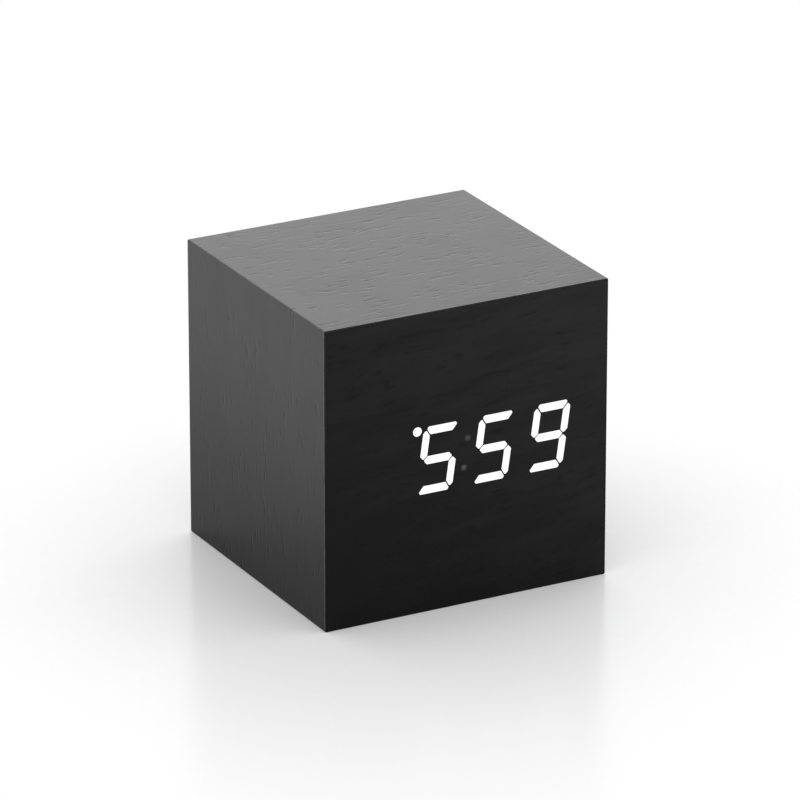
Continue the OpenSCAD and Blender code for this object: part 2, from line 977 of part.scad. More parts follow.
// A ring of points round the wire, in the plane of the coil's axis
function coil_ring(turn) =
    let (out = [0, cos(360 * turn), sin(360 * turn)], r = wire_d / 2)
    [for (j = [0:coil_sides - 1])
        let (angle = 360 * j / coil_sides)
        coil_point(turn) + r * cos(angle) * out - [r * sin(angle), 0, 0]];

// Least gap between one curl of a spring and the next
coil_gap = min([for (i = [0:coil_rings - curl_rings - 1])
    norm(coil_point((i + curl_rings) / curl_rings) - coil_point(i / curl_rings))]) - wire_d;
echo(coil_gap = coil_gap);

// One battery spring against the contact plate of a cell
module battery_spring(side, i) {
    translate([side * (tray_x - contact_t), cell_y, cell_z(i)])
        rotate([0, 0, side > 0 ? 180 : 0])
            polyhedron(
                points = [for (k = [0:coil_rings - 1]) each coil_ring(k / curl_rings)],
                faces = tube_faces(coil_rings, coil_sides)
            );
}

module battery_springs() {
    color("#d2d4d7") {
        battery_spring(-1, 0);
        battery_spring(1, 1);
        battery_spring(-1, 2);
    }
}

// A point on the smooth curve through a list of points, at t from 0 to 1 within a stretch
function curve_point(points, i, t) =
    let (a = points[max(i - 1, 0)], b = points[i], c = points[i + 1], d = points[min(i + 2, len(points) - 1)])
    (2 * b + (c - a) * t + (2 * a - 5 * b + 4 * c - d) * t * t + (3 * b - a - 3 * c + d) * t * t * t) / 2;

// A lead swept along the smooth curve through its points, in any direction but along X
module lead(points) {
    last = len(points) - 2;
    path = concat(
        [for (i = [0:last], k = [0:lead_steps - 1]) curve_point(points, i, k / lead_steps)],
        [points[last + 1]]
    );
    rings = [for (i = [0:len(path) - 1])
        let (
            ahead = path[min(i + 1, len(path) - 1)] - path[max(i - 1, 0)],
            across = cross(ahead, [1, 0, 0]),
            u = across / norm(across),
            v = cross(ahead, u) / norm(ahead)
        )
        [for (j = [0:lead_sides - 1])
            path[i] + lead_d / 2 * (cos(360 * j / lead_sides) * u + sin(360 * j / lead_sides) * v)]];
    polyhedron(
        points = [for (ring = rings) each ring],
        faces = tube_faces(len(rings), lead_sides)
    );
}

// Route of a lead from a terminal's tab, up the front of the tray, to the key board
function lead_route(side, i) = [
    [side * (tray_x - contact_t / 2), tab_y - lead_gap, cell_z(i)],
    [side * (tray_x - contact_t / 2), tab_y - 1.5, cell_z(i)],
    [side * (tray_x - 1), tab_y - 2.5, cell_z(i) + 3],
    [side * (tray_x - 4), tab_y - 2, tray_top + 1],
    [side * lead_end_x, (tab_y + key_front) / 2, boss_z],
    [side * lead_end_x, key_front - 1, boss_z],
    [side * lead_end_x, key_front, boss_z]
];

module positive_lead() {
    color("#a3221e")
        lead(lead_route(1, 0));
}

module negative_lead() {
    color("#1b1b1d")
        lead(lead_route(-1, 2));
}

veneer_wrap();
top_board();
bottom_board();
left_board();
right_board();
front_board();
front_veneer();
corner_blocks();
lit_segments();
status_light();
colon_lights();
diffuser_film();
segment_reflector();
display_board();
led_chips();
controller_chip();
crystal();
display_spacers();
display_screws();
display_socket();
ribbon_cable();
key_socket();
key_board();
key_board_screws();
buzzer();
usb_shell();
usb_tongue();
switch(0);  // set_switch
switch(1);  // up_switch
switch(2);  // down_switch
plunger(0);  // set_plunger
plunger(1);  // up_plunger
plunger(2);  // down_plunger
button(0);  // set_button
button(1);  // up_button
button(2);  // down_button
rear_panel();
rear_screws();
battery_door();
cell(0);  // cell_1
cell(1);  // cell_2
cell(2);  // cell_3
positive_contact();
negative_contact();
bridge_contacts();
battery_springs();
positive_lead();
negative_lead();
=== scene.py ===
"""Digital cube alarm clock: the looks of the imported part, in the part's own frame, in metres."""
import json
import logging
import math
from abc import ABC, abstractmethod
from collections.abc import Iterable, Mapping
from dataclasses import dataclass, field
from enum import Enum
from functools import cache, partial, reduce
from typing import ClassVar

import bmesh
import bpy
from mathutils import Matrix, Vector

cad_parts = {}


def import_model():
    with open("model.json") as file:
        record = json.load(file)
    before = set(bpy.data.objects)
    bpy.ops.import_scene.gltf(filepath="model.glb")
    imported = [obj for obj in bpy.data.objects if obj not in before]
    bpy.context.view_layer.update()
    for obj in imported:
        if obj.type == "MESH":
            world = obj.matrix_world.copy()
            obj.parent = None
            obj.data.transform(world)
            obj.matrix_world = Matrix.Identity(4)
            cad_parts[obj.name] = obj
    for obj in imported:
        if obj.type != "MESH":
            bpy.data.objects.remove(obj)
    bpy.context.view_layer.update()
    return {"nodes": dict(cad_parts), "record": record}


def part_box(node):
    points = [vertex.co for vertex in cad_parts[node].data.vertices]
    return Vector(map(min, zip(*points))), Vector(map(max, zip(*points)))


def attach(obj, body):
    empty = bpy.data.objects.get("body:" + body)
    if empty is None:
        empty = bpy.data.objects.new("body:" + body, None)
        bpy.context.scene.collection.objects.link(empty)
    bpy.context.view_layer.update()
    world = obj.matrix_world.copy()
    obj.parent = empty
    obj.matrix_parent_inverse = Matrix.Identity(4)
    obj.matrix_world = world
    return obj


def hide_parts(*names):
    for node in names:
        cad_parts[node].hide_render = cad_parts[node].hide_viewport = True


MM = 0.001
LATHE_STEPS = 64
RIDGE_ANGLE = 25.0
MERGE_GAP = 0.001 * MM
WIRE_MERGE_GAP = 0.0001 * MM
LOG = logging.getLogger("cube_clock")

Mesh = bmesh.types.BMesh
Edge = bmesh.types.BMEdge
Socket = bpy.types.NodeSocket
Feed = Socket | float | tuple[float, ...]
Masks = dict[str, Socket]
Weights = tuple[tuple[str, float], ...]
Colour = tuple[float, float, float]
Triple = tuple[float, float, float]

WHITE: Colour = (1.0, 1.0, 1.0)
UNLIT: Colour = (0.0, 0.0, 0.0)


class Grain(Enum):
    """Which coordinates carry the grain of a veneered surface."""

    ROUND_THE_WRAP = "UV"
    ALONG_THE_FACE = "Object"


class Body(Enum):
    """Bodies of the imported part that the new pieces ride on."""

    CASE = "case"
    SET_KEY = "set_key"
    UP_KEY = "up_key"
    DOWN_KEY = "down_key"


# Node wiring


class NodeSheet:
    """Adds and links the nodes of one material or node group."""

    def __init__(self, tree: bpy.types.NodeTree) -> None:
        """Keeps the tree that the nodes go into."""
        self.tree = tree

    def feed(self, target: Socket, value: Feed) -> None:
        """Links a socket to an input, or sets the input's own value.

        Args:
            target: The input.
            value: An output socket, a number or a tuple of numbers.
        """
        if isinstance(value, Socket):
            self.tree.links.new(value, target)
        else:
            target.default_value = value

    def add(self, kind: str, inputs: Mapping[str | int, Feed] | None = None,
            **settings: object) -> bpy.types.Node:
        """Adds one node.

        Args:
            kind: The node's type, without the words ShaderNode.
            inputs: Values or sockets for its inputs, by name or number.
            settings: Values for its own attributes.

        Returns:
            The new node.
        """
        node = self.tree.nodes.new(f"ShaderNode{kind}")
        for name, value in settings.items():
            setattr(node, name, value)
        for key, value in (inputs or {}).items():
            self.feed(node.inputs[key], value)
        return node

    def math(self, operation: str, first: Feed, second: Feed = 0.0) -> Socket:
        """Returns the result of an operation on two numbers, such as ADD."""
        return self.add("Math", {0: first, 1: second}, operation=operation).outputs[0]

    def times(self, first: Feed, second: Feed) -> Socket:
        """Returns one number times another."""
        return self.math("MULTIPLY", first, second)

    def vector(self, operation: str, first: Feed, second: Feed = (0.0, 0.0, 0.0)) -> Socket:
        """Returns the result of an operation on two vectors; DISTANCE and LENGTH give a number."""
        node = self.add("VectorMath", {0: first, 1: second}, operation=operation)
        return node.outputs["Value" if operation in ("DISTANCE", "LENGTH") else "Vector"]

    def split(self, vector: Feed) -> list[Socket]:
        """Returns a vector's X, Y and Z."""
        return self.add("SeparateXYZ", {0: vector}).outputs[:3]

    def weigh(self, start: Feed, masks: Mapping[str, Feed], weights: Weights) -> Socket:
        """Adds masks, each times its weight, to a start.

        Args:
            start: The number to start from.
            masks: The masks by name.
            weights: Names of masks with their weights.

        Returns:
            The sum's socket.
        """
        total = start
        for name, weight in weights:
            scaled = {0: masks[name], 1: weight, 2: total}
            total = self.add("Math", scaled, operation="MULTIPLY_ADD").outputs[0]
        return total

    def noise(self, vector: Feed, scale: float | Triple, detail: float = 2.0) -> Socket:
        """Adds a soft noise.

        Args:
            vector: The coordinates.
            scale: Blots in one unit of the coordinates, or a number of blots for each axis.
            detail: Finer layers.

        Returns:
            The noise's socket, from 0 to 1.
        """
        if isinstance(scale, tuple):
            vector, scale = self.vector("MULTIPLY", vector, scale), 1.0
        return self.add("TexNoise", {"Vector": vector, "Scale": scale, "Detail": detail}).outputs[0]

    def ease(self, value: Feed, low: Feed, high: Feed, start: float = 0.0,
             end: float = 1.0) -> Socket:
        """Returns start where a value is below low, end above high, and a smooth change between."""
        inputs = {"Value": value, "From Min": low, "From Max": high, "To Min": start, "To Max": end}
        return self.add("MapRange", inputs, interpolation_type="SMOOTHSTEP").outputs[0]

    def blend(self, share: Feed, first: Feed, second: Feed) -> Socket:
        """Blends two colours.

        Args:
            share: 0 for the first colour, 1 for the second.
            first: A colour of three numbers, or a socket.
            second: A colour of three numbers, or a socket.

        Returns:
            The blended colour's socket.
        """
        pair = [(*value, 1.0) if isinstance(value, tuple) else value for value in (first, second)]
        node = self.add("Mix", {0: share, 6: pair[0], 7: pair[1]}, data_type="RGBA")
        return node.outputs[2]

    def bump(self, height: Feed, depth: float) -> Socket:
        """Returns the normal of a height from 0 to 1 that spans a depth in metres."""
        return self.add("Bump", {"Height": height, "Distance": depth, "Strength": 1.0}).outputs[0]

    def millimetres(self, source: str = "Object") -> Socket:
        """Returns an output of the coordinate node, in millimetres."""
        return self.vector("MULTIPLY", self.add("TexCoord").outputs[source], (1 / MM,) * 3)

    def lay_flat(self, place: Feed, tilt: float = 0.0) -> Socket:
        """Returns the coordinates of the front's XZ plane as XY, turned in it by a tilt."""
        turn = (math.radians(-90), 0.0, tilt)
        return self.add("Mapping", {"Vector": place, "Rotation": turn}).outputs[0]


# Shared patterns


class Pattern(ABC):
    """A shader node group that several materials share, built at its first use, in millimetres."""

    name: ClassVar[str]
    inputs: ClassVar[dict[str, str]] = {"Place": "NodeSocketVector"}
    outputs: ClassVar[tuple[str, ...]]

    @classmethod
    def tree(cls) -> bpy.types.NodeTree:
        """Makes the group with its sockets and nodes, if it isn't there yet.

        Returns:
            The group's tree.
        """
        if cls.name in bpy.data.node_groups:
            return bpy.data.node_groups[cls.name]
        tree = bpy.data.node_groups.new(cls.name, "ShaderNodeTree")
        for name, kind in cls.inputs.items():
            tree.interface.new_socket(name, in_out="INPUT", socket_type=kind)
        for name in cls.outputs:
            tree.interface.new_socket(name, in_out="OUTPUT", socket_type="NodeSocketFloat")
        entry = tree.nodes.new("NodeGroupInput")
        result = tree.nodes.new("NodeGroupOutput")
        for name, socket in cls.draw(NodeSheet(tree), entry.outputs).items():
            tree.links.new(socket, result.inputs[name])
        return tree

    @classmethod
    def place(cls, sheet: NodeSheet, **inputs: Feed) -> Masks:
        """Places the group in a material.

        Args:
            sheet: The material's nodes.
            inputs: Values or sockets for the group's inputs, by lower-case name.

        Returns:
            The group's outputs by name.
        """
        node = sheet.tree.nodes.new("ShaderNodeGroup")
        node.node_tree = cls.tree()
        for name, value in inputs.items():
            sheet.feed(node.inputs[name.replace("_", " ").title()], value)
        return {name: node.outputs[name] for name in cls.outputs}

    @classmethod
    @abstractmethod
    def draw(cls, sheet: NodeSheet, given: Mapping[str, Socket]) -> Masks:
        """Adds the group's nodes.

        Args:
            sheet: The group's nodes.
            given: The group's inputs by name.

        Returns:
            The sockets that feed the group's outputs, by name.
        """


class VeneerGrain(Pattern):
    """Open-grained veneer: broad bands, fine fibres, and pores that lie in patches, all along X."""

    name = "veneer_grain"
    outputs = ("Bands", "Fibres", "Pores")
    wander_scale: ClassVar[Triple] = (0.04, 0.07, 0.07)
    wander: ClassVar[float] = 6.0
    band_scale: ClassVar[Triple] = (0.06, 0.30, 0.30)
    fibre_scale: ClassVar[Triple] = (0.16, 2.6, 2.6)
    patch_scale: ClassVar[Triple] = (0.11, 0.18, 0.18)
    pore_scale: ClassVar[Triple] = (0.26, 1.0, 1.0)

    @classmethod
    def draw(cls, sheet: NodeSheet, given: Mapping[str, Socket]) -> Masks:
        """Draws the grain along lines that wander.

        Args:
            sheet: The group's nodes.
            given: The group's inputs by name.

        Returns:
            The sockets that feed the group's outputs, by name.
        """
        place = given["Place"]
        sideways = sheet.times(sheet.noise(place, cls.wander_scale), cls.wander)
        shift = sheet.add("CombineXYZ", {"Y": sideways}).outputs[0]
        bent = sheet.vector("ADD", place, shift)
        patches = sheet.ease(sheet.noise(place, cls.patch_scale), 0.4, 0.6, 0.15, 1.0)
        dashes = sheet.ease(sheet.noise(bent, cls.pore_scale, 1.0), 0.52, 0.76)
        return {"Bands": sheet.noise(bent, cls.band_scale),
                "Fibres": sheet.noise(bent, cls.fibre_scale, 3.0),
                "Pores": sheet.times(dashes, patches)}


class EdgeWearAndGlint(Pattern):
    """Colour thinned by use on a sleeve along Y: on its folds, where the pale marks are also
    painted highlight, and less on its sides by the rims.
    """

    name = "edge_wear_and_glint"
    inputs = {"Place": "NodeSocketVector", "Half Size": "NodeSocketVector",
              "Fold Radius": "NodeSocketFloat"}
    outputs = ("Wear",)
    scuff_scale: ClassVar[float] = 0.8
    rim_reach: ClassVar[float] = 0.5
    peak_share: ClassVar[float] = 0.2

    @classmethod
    def draw(cls, sheet: NodeSheet, given: Mapping[str, Socket]) -> Masks:
        """Measures inwards from the folds and from the rims, and scuffs both.

        Args:
            sheet: The group's nodes.
            given: The group's inputs by name, with the place counted from the sleeve's middle.

        Returns:
            The sockets that feed the group's outputs, by name.
        """
        away = sheet.vector("ABSOLUTE", given["Place"])
        across, inwards, up = sheet.split(sheet.vector("SUBTRACT", given["Half Size"], away))
        scuffs = sheet.noise(given["Place"], cls.scuff_scale, 5.0)
        reach = given["Fold Radius"]
        fold = sheet.ease(sheet.math("MAXIMUM", across, up), sheet.times(reach, cls.peak_share),
                          reach, 1.0, 0.0)
        peak = cls.peak_share * cls.rim_reach
        rim = sheet.times(sheet.ease(inwards, 0.0, peak),
                          sheet.ease(inwards, peak, cls.rim_reach, 1.0, 0.0))
        # On the folds the pale marks are wear and also painted highlight, which lightens the folds
        # where they turn from the light.
        fold_wear_and_glint = sheet.times(fold, sheet.ease(scuffs, 0.3, 0.6, 0.6, 1.0))
        chipped = sheet.times(rim, sheet.ease(scuffs, 0.3, 0.6, 0.25, 0.65))
        return {"Wear": sheet.math("MAXIMUM", fold_wear_and_glint, chipped)}


class Handling(Pattern):
    """Marks of use: broad smudges from fingers, and specks of dust."""

    name = "handling"
    outputs = ("Smudges", "Dust")
    smudge_scale: ClassVar[float] = 0.09
    speck_scale: ClassVar[float] = 0.45

    @classmethod
    def draw(cls, sheet: NodeSheet, given: Mapping[str, Socket]) -> Masks:
        """Draws the smudges, and a speck in some of many cells.

        Args:
            sheet: The group's nodes.
            given: The group's inputs by name.

        Returns:
            The sockets that feed the group's outputs, by name.
        """
        place = given["Place"]
        cells = sheet.add("TexVoronoi", {"Vector": place, "Scale": cls.speck_scale}).outputs
        spot = sheet.ease(cells["Distance"], 0.03, 0.07, 1.0, 0.0)
        lot = sheet.add("SeparateColor", {0: cells["Color"]}).outputs[1]
        return {"Smudges": sheet.ease(sheet.noise(place, cls.smudge_scale, 4.0), 0.38, 0.72),
                "Dust": sheet.times(spot, sheet.ease(lot, 0.7, 0.72))}


class Spark(Pattern):
    """The fine even texture that a spark-eroded mould leaves on plastic."""

    name = "spark"
    outputs = ("Height", "Blotches")
    pit_scale: ClassVar[float] = 5.0
    grit_scale: ClassVar[float] = 11.0
    blotch_scale: ClassVar[float] = 0.35

    @classmethod
    def draw(cls, sheet: NodeSheet, given: Mapping[str, Socket]) -> Masks:
        """Draws gritty pits, and blotches for the colour.

        Args:
            sheet: The group's nodes.
            given: The group's inputs by name.

        Returns:
            The sockets that feed the group's outputs, by name.
        """
        place = given["Place"]
        cells = {"Vector": place, "Scale": cls.pit_scale}
        pits = sheet.add("TexVoronoi", cells, feature="SMOOTH_F1").outputs["Distance"]
        return {"Height": sheet.times(pits, sheet.noise(place, cls.grit_scale)),
                "Blotches": sheet.noise(place, cls.blotch_scale, 3.0)}


class Brushing(Pattern):
    """Fine scratches along X on drawn or rolled metal, and patches of tarnish."""

    name = "brushing"
    outputs = ("Scratches", "Tarnish")
    scratch_scale: ClassVar[Triple] = (0.4, 14.0, 14.0)
    tarnish_scale: ClassVar[float] = 0.7

    @classmethod
    def draw(cls, sheet: NodeSheet, given: Mapping[str, Socket]) -> Masks:
        """Draws the scratches and the patches.

        Args:
            sheet: The group's nodes.
            given: The group's inputs by name.

        Returns:
            The sockets that feed the group's outputs, by name.
        """
        place = given["Place"]
        return {"Scratches": sheet.noise(place, cls.scratch_scale, 3.0),
                "Tarnish": sheet.ease(sheet.noise(place, cls.tarnish_scale, 4.0), 0.45, 0.75)}


class Tracks(Pattern):
    """Copper tracks and round pads under the lacquer of a circuit board in the XZ plane."""

    name = "tracks"
    outputs = ("Copper", "Pads")
    track_scale: ClassVar[float] = 0.22
    tracks_per_cell: ClassVar[float] = 6.0
    pad_scale: ClassVar[float] = 0.39

    @classmethod
    def draw(cls, sheet: NodeSheet, given: Mapping[str, Socket]) -> Masks:
        """Draws square-cornered tracks, and pads in loose rows.

        Args:
            sheet: The group's nodes.
            given: The group's inputs by name.

        Returns:
            The sockets that feed the group's outputs, by name.
        """
        flat = sheet.vector("MULTIPLY", given["Place"], (1.0, 0.0, 1.0))
        cells = {"Vector": flat, "Scale": cls.track_scale}
        steps = sheet.add("TexVoronoi", cells, distance="MANHATTAN").outputs["Distance"]
        rings = sheet.math("PINGPONG", sheet.times(steps, cls.tracks_per_cell), 1.0)
        cells = {"Vector": flat, "Scale": cls.pad_scale, "Randomness": 0.35}
        pads = sheet.add("TexVoronoi", cells).outputs["Distance"]
        return {"Copper": sheet.ease(rings, 0.55, 0.62),
                "Pads": sheet.ease(pads, 0.16, 0.2, 1.0, 0.0)}


# Finishes


class Finish(ABC):
    """What a surface is made of: a material built from nodes at its first use."""

    name: str

    @cache
    def material(self) -> bpy.types.Material:
        """Makes the material that every piece of this finish shares.

        Returns:
            The material.
        """
        material = bpy.data.materials.new(f"{self.name}_finish")
        material.use_nodes = True
        sheet = NodeSheet(material.node_tree)
        shader = material.node_tree.nodes["Principled BSDF"]
        for name, value in self.paint(sheet).items():
            sheet.feed(shader.inputs[name], value)
        output = material.node_tree.nodes["Material Output"]
        sheet.feed(output.inputs["Surface"], self.surface(sheet, shader.outputs[0]))
        return material

    @abstractmethod
    def paint(self, sheet: NodeSheet) -> dict[str, Feed]:
        """Adds the material's nodes.

        Args:
            sheet: The material's nodes.

        Returns:
            Sockets and values for the shader's inputs, by name.
        """

    def surface(self, sheet: NodeSheet, shaded: Socket) -> Socket:
        """Returns what the material shows, which is the shader alone."""
        return shaded


@dataclass(frozen=True)
class Veneer(Finish):
    """Thin black veneer with faint streaks, painted darker at the bottom and lighter at the top as
    painted shade and light, under a satin lacquer that thins towards the base.
    """

    name: str
    grain: Grain
    half_size: Triple
    middle: Triple
    fold_r: float
    lacquer: float
    tilt: float = 0.0
    # Painted light: how much lighter the front's streaks are painted towards the right.
    right_lift: float = 0.0
    black: Colour = (0.0028, 0.0028, 0.0029)
    streak: Colour = (0.0172, 0.0172, 0.0175)
    # The pale colour of wear and dust, also painted highlight on the folds.
    worn_dust_and_glint: Colour = (0.105, 0.103, 0.100)
    # Painted shade and light: tone added to the streaks at the bottom and at the top.
    painted_shade_low: float = -0.2
    painted_light_high: float = 0.14
    tone: Weights = (("Bands", 0.6), ("Fibres", 0.12), ("Pores", -0.25))
    dust: float = 0.1
    roughness: float = 0.14
    dullness: Weights = (("Fibres", 0.12), ("Pores", 0.12), ("Smudges", -0.03))
    gloss: float = 0.12
    lacquer_ior: float = 1.2
    lacquer_roughness: float = 0.18
    smear: float = 0.06
    side_pores: float = 0.45
    top_share: float = 0.97
    relief: Weights = (("Fibres", 0.05), ("Pores", -0.9))
    depth: float = 0.065 * MM

    def paint(self, sheet: NodeSheet) -> dict[str, Feed]:
        """Streaks the black along the grain with painted shade and light, wears the edges, with
        painted highlight on the folds, and dusts the faces.

        Args:
            sheet: The material's nodes.

        Returns:
            Sockets and values for the shader's inputs, by name.
        """
        along = sheet.millimetres(self.grain.value)
        if self.grain is Grain.ALONG_THE_FACE:
            along = sheet.lay_flat(along, self.tilt)
        place = sheet.vector("SUBTRACT", sheet.millimetres(), self.middle)
        masks = VeneerGrain.place(sheet, place=along) | Handling.place(sheet, place=place)
        wear_and_glint = EdgeWearAndGlint.place(sheet, place=place, half_size=self.half_size, fold_radius=self.fold_r)
        across, _, up = sheet.split(place)
        width, _, top = self.half_size
        # Painted shade and light: the streaks are darker towards the bottom, lighter towards the
        # top and, on the front, lighter towards the right.
        start = sheet.math("ADD", sheet.ease(up, -top, top, self.painted_shade_low, self.painted_light_high),
                           sheet.times(across, self.right_lift / width))
        tone = sheet.ease(sheet.weigh(start, masks, self.tone), 0.0, 1.0)
        streaks_dust_and_light = sheet.blend(sheet.times(masks["Dust"], self.dust),
                            sheet.blend(tone, self.black, self.streak), self.worn_dust_and_glint)
        smeared = sheet.ease(masks["Smudges"], 0.0, 1.0, 1.0 + self.smear, 1.0 - self.smear)
        shown = sheet.ease(up, self.top_share * top, top, self.side_pores, 1.0)
        cut = masks | {"Pores": sheet.times(masks["Pores"], shown)}
        # Wear on the rims, and wear with painted highlight on the folds, lightens the colour.
        return {"Base Color": sheet.blend(wear_and_glint["Wear"], streaks_dust_and_light, self.worn_dust_and_glint),
                "Roughness": sheet.weigh(self.roughness, masks, self.dullness),
                "Specular IOR Level": self.gloss,
                "Coat Weight": sheet.times(sheet.ease(up, -top, top, 0.0, self.lacquer), smeared),
                "Coat IOR": self.lacquer_ior,
                "Coat Roughness": self.lacquer_roughness,
                "Normal": sheet.bump(sheet.weigh(1.0, cut, self.relief), self.depth)}


@dataclass(frozen=True)
class Fibreboard(Finish):
    """Pressed fibreboard, raw inside the case and painted black where it shows at the rear."""

    name: str
    rear: float
    raw: Colour = (0.235, 0.140, 0.070)
    pale: Colour = (0.330, 0.215, 0.120)
    bark: Colour = (0.10, 0.055, 0.025)
    black: Colour = (0.0130, 0.0128, 0.0126)
    fibre_scale: float = 1.6
    speck_scale: float = 4.5
    painted: float = 3.6
    paint_fade: float = 0.4
    ragged: float = 1.4
    roughness: float = 0.9
    paint_shine: float = 0.28
    gloss: float = 0.3
    depth: float = 0.05 * MM

    def paint(self, sheet: NodeSheet) -> dict[str, Feed]:
        """Mixes fibres into the board and paints it black near the rear.

        Args:
            sheet: The material's nodes.

        Returns:
            Sockets and values for the shader's inputs, by name.
        """
        place = sheet.millimetres()
        fibres = sheet.noise(place, self.fibre_scale, 6.0)
        specks = sheet.noise(place, self.speck_scale)
        board = sheet.blend(sheet.ease(fibres, 0.35, 0.7), self.raw, self.pale)
        board = sheet.blend(sheet.ease(specks, 0.6, 0.72, 0.0, 0.6), board, self.bark)
        inwards = sheet.math("SUBTRACT", self.rear, sheet.split(place)[1])
        reached = sheet.math("ADD", inwards, sheet.times(fibres, self.ragged))
        black = sheet.times(
            sheet.ease(reached, self.painted, self.painted + self.paint_fade, 1.0, 0.0),
            sheet.ease(specks, 0.3, 0.36, 0.9, 1.0))
        shine = sheet.times(black, self.paint_shine)
        return {"Base Color": sheet.blend(black, board, self.black),
                "Roughness": sheet.math("SUBTRACT", self.roughness, shine),
                "Specular IOR Level": self.gloss,
                "Normal": sheet.bump(fibres, self.depth)}


@dataclass(frozen=True)
class Pine(Finish):
    """Planed softwood with growth rings, as glue blocks are cut from."""

    name: str
    early: Colour = (0.560, 0.390, 0.215)
    late: Colour = (0.340, 0.190, 0.085)
    ring_scale: Triple = (0.16, 0.012, 0.16)
    fibre_scale: Triple = (3.0, 0.15, 3.0)
    depth: float = 0.04 * MM

    def paint(self, sheet: NodeSheet) -> dict[str, Feed]:
        """Draws rings along the blocks.

        Args:
            sheet: The material's nodes.

        Returns:
            Sockets and values for the shader's inputs, by name.
        """
        place = sheet.millimetres()
        waves = {"Vector": sheet.vector("MULTIPLY", place, self.ring_scale), "Scale": 1.0,
                 "Distortion": 3.0, "Detail": 2.0}
        rings = sheet.add("TexWave", waves, wave_type="RINGS").outputs["Fac"]
        fibres = sheet.noise(place, self.fibre_scale, 4.0)
        tone = sheet.times(sheet.ease(rings, 0.3, 1.0), sheet.math("ADD", fibres, 0.4))
        return {"Base Color": sheet.blend(tone, self.early, self.late),
                "Roughness": sheet.ease(fibres, 0.2, 0.8, 0.6, 0.85),
                "Normal": sheet.bump(fibres, self.depth)}


@dataclass(frozen=True)
class Lit(Finish):
    """Light through the skin: a window that glows, crossed by the faint shade of the fibres."""

    name: str
    glow: float
    bright: Colour = WHITE
    shade: Colour = (0.93, 0.94, 0.95)
    skin: Colour = (0.02, 0.02, 0.02)
    fibre: Colour = (0.03, 0.03, 0.03)
    gloss: float = 0.2
    centres: tuple[Triple, ...] = ()
    reach: float = 1.0

    def paint(self, sheet: NodeSheet) -> dict[str, Feed]:
        """Lights the window along the grain, or fading from its centres if it has any.

        Args:
            sheet: The material's nodes.

        Returns:
            Sockets and values for the shader's inputs, by name.
        """
        place = sheet.millimetres()
        grain = VeneerGrain.place(sheet, place=sheet.lay_flat(place))
        fibres = sheet.ease(grain["Fibres"], 0.3, 0.7)
        if self.centres:
            gaps = [sheet.vector("DISTANCE", place, centre) for centre in self.centres]
            nearest = reduce(partial(sheet.math, "MINIMUM"), gaps)
            light = sheet.blend(sheet.ease(nearest, 0.0, self.reach), self.bright, UNLIT)
        else:
            light = sheet.blend(fibres, self.bright, self.shade)
        return {"Base Color": sheet.blend(fibres, self.skin, self.fibre),
                "Emission Color": light,
                "Emission Strength": self.glow,
                "Roughness": sheet.ease(grain["Pores"], 0.0, 1.0, 0.4, 0.55),
                "Specular IOR Level": self.gloss}


@dataclass(frozen=True)
class Moulded(Finish):
    """Moulded plastic with a spark-eroded surface, blotches in its colour, and smudges."""

    name: str
    colour: Colour
    mottle: Colour
    roughness: float = 0.5
    dullness: Weights = (("Height", 0.25), ("Smudges", -0.04))
    texture: float = 1.0
    depth: float = 0.03 * MM
    dust: float = 0.5
    dust_gain: float = 2.2
    dust_level: float = 0.03

    def paint(self, sheet: NodeSheet) -> dict[str, Feed]:
        """Mottles the colour, roughens the surface and dusts it.

        Args:
            sheet: The material's nodes.

        Returns:
            Sockets and values for the shader's inputs, by name.
        """
        place = sheet.millimetres()
        fine = sheet.vector("MULTIPLY", place, (self.texture,) * 3)
        masks = Spark.place(sheet, place=fine) | Handling.place(sheet, place=place)
        plain = sheet.blend(sheet.ease(masks["Blotches"], 0.3, 0.7), self.colour, self.mottle)
        lint = tuple(min(1.0, self.dust_gain * value + self.dust_level) for value in self.mottle)
        return {"Base Color": sheet.blend(sheet.times(masks["Dust"], self.dust), plain, lint),
                "Roughness": sheet.weigh(self.roughness, masks, self.dullness),
                "Normal": sheet.bump(masks["Height"], self.depth)}


@dataclass(frozen=True)
class Metal(Finish):
    """Plated metal with fine scratches and patches of tarnish."""

    name: str
    colour: Colour
    tarnish: Colour
    roughness: float = 0.28
    dullness: Weights = (("Scratches", 0.12), ("Tarnish", 0.12))
    dulled: float = 0.6
    depth: float = 0.004 * MM

    def paint(self, sheet: NodeSheet) -> dict[str, Feed]:
        """Scratches and tarnishes the plating.

        Args:
            sheet: The material's nodes.

        Returns:
            Sockets and values for the shader's inputs, by name.
        """
        masks = Brushing.place(sheet, place=sheet.millimetres())
        share = sheet.times(masks["Tarnish"], self.dulled)
        return {"Base Color": sheet.blend(share, self.colour, self.tarnish),
                "Roughness": sheet.weigh(self.roughness, masks, self.dullness),
                "Metallic": 1.0,
                "Normal": sheet.bump(masks["Scratches"], self.depth)}


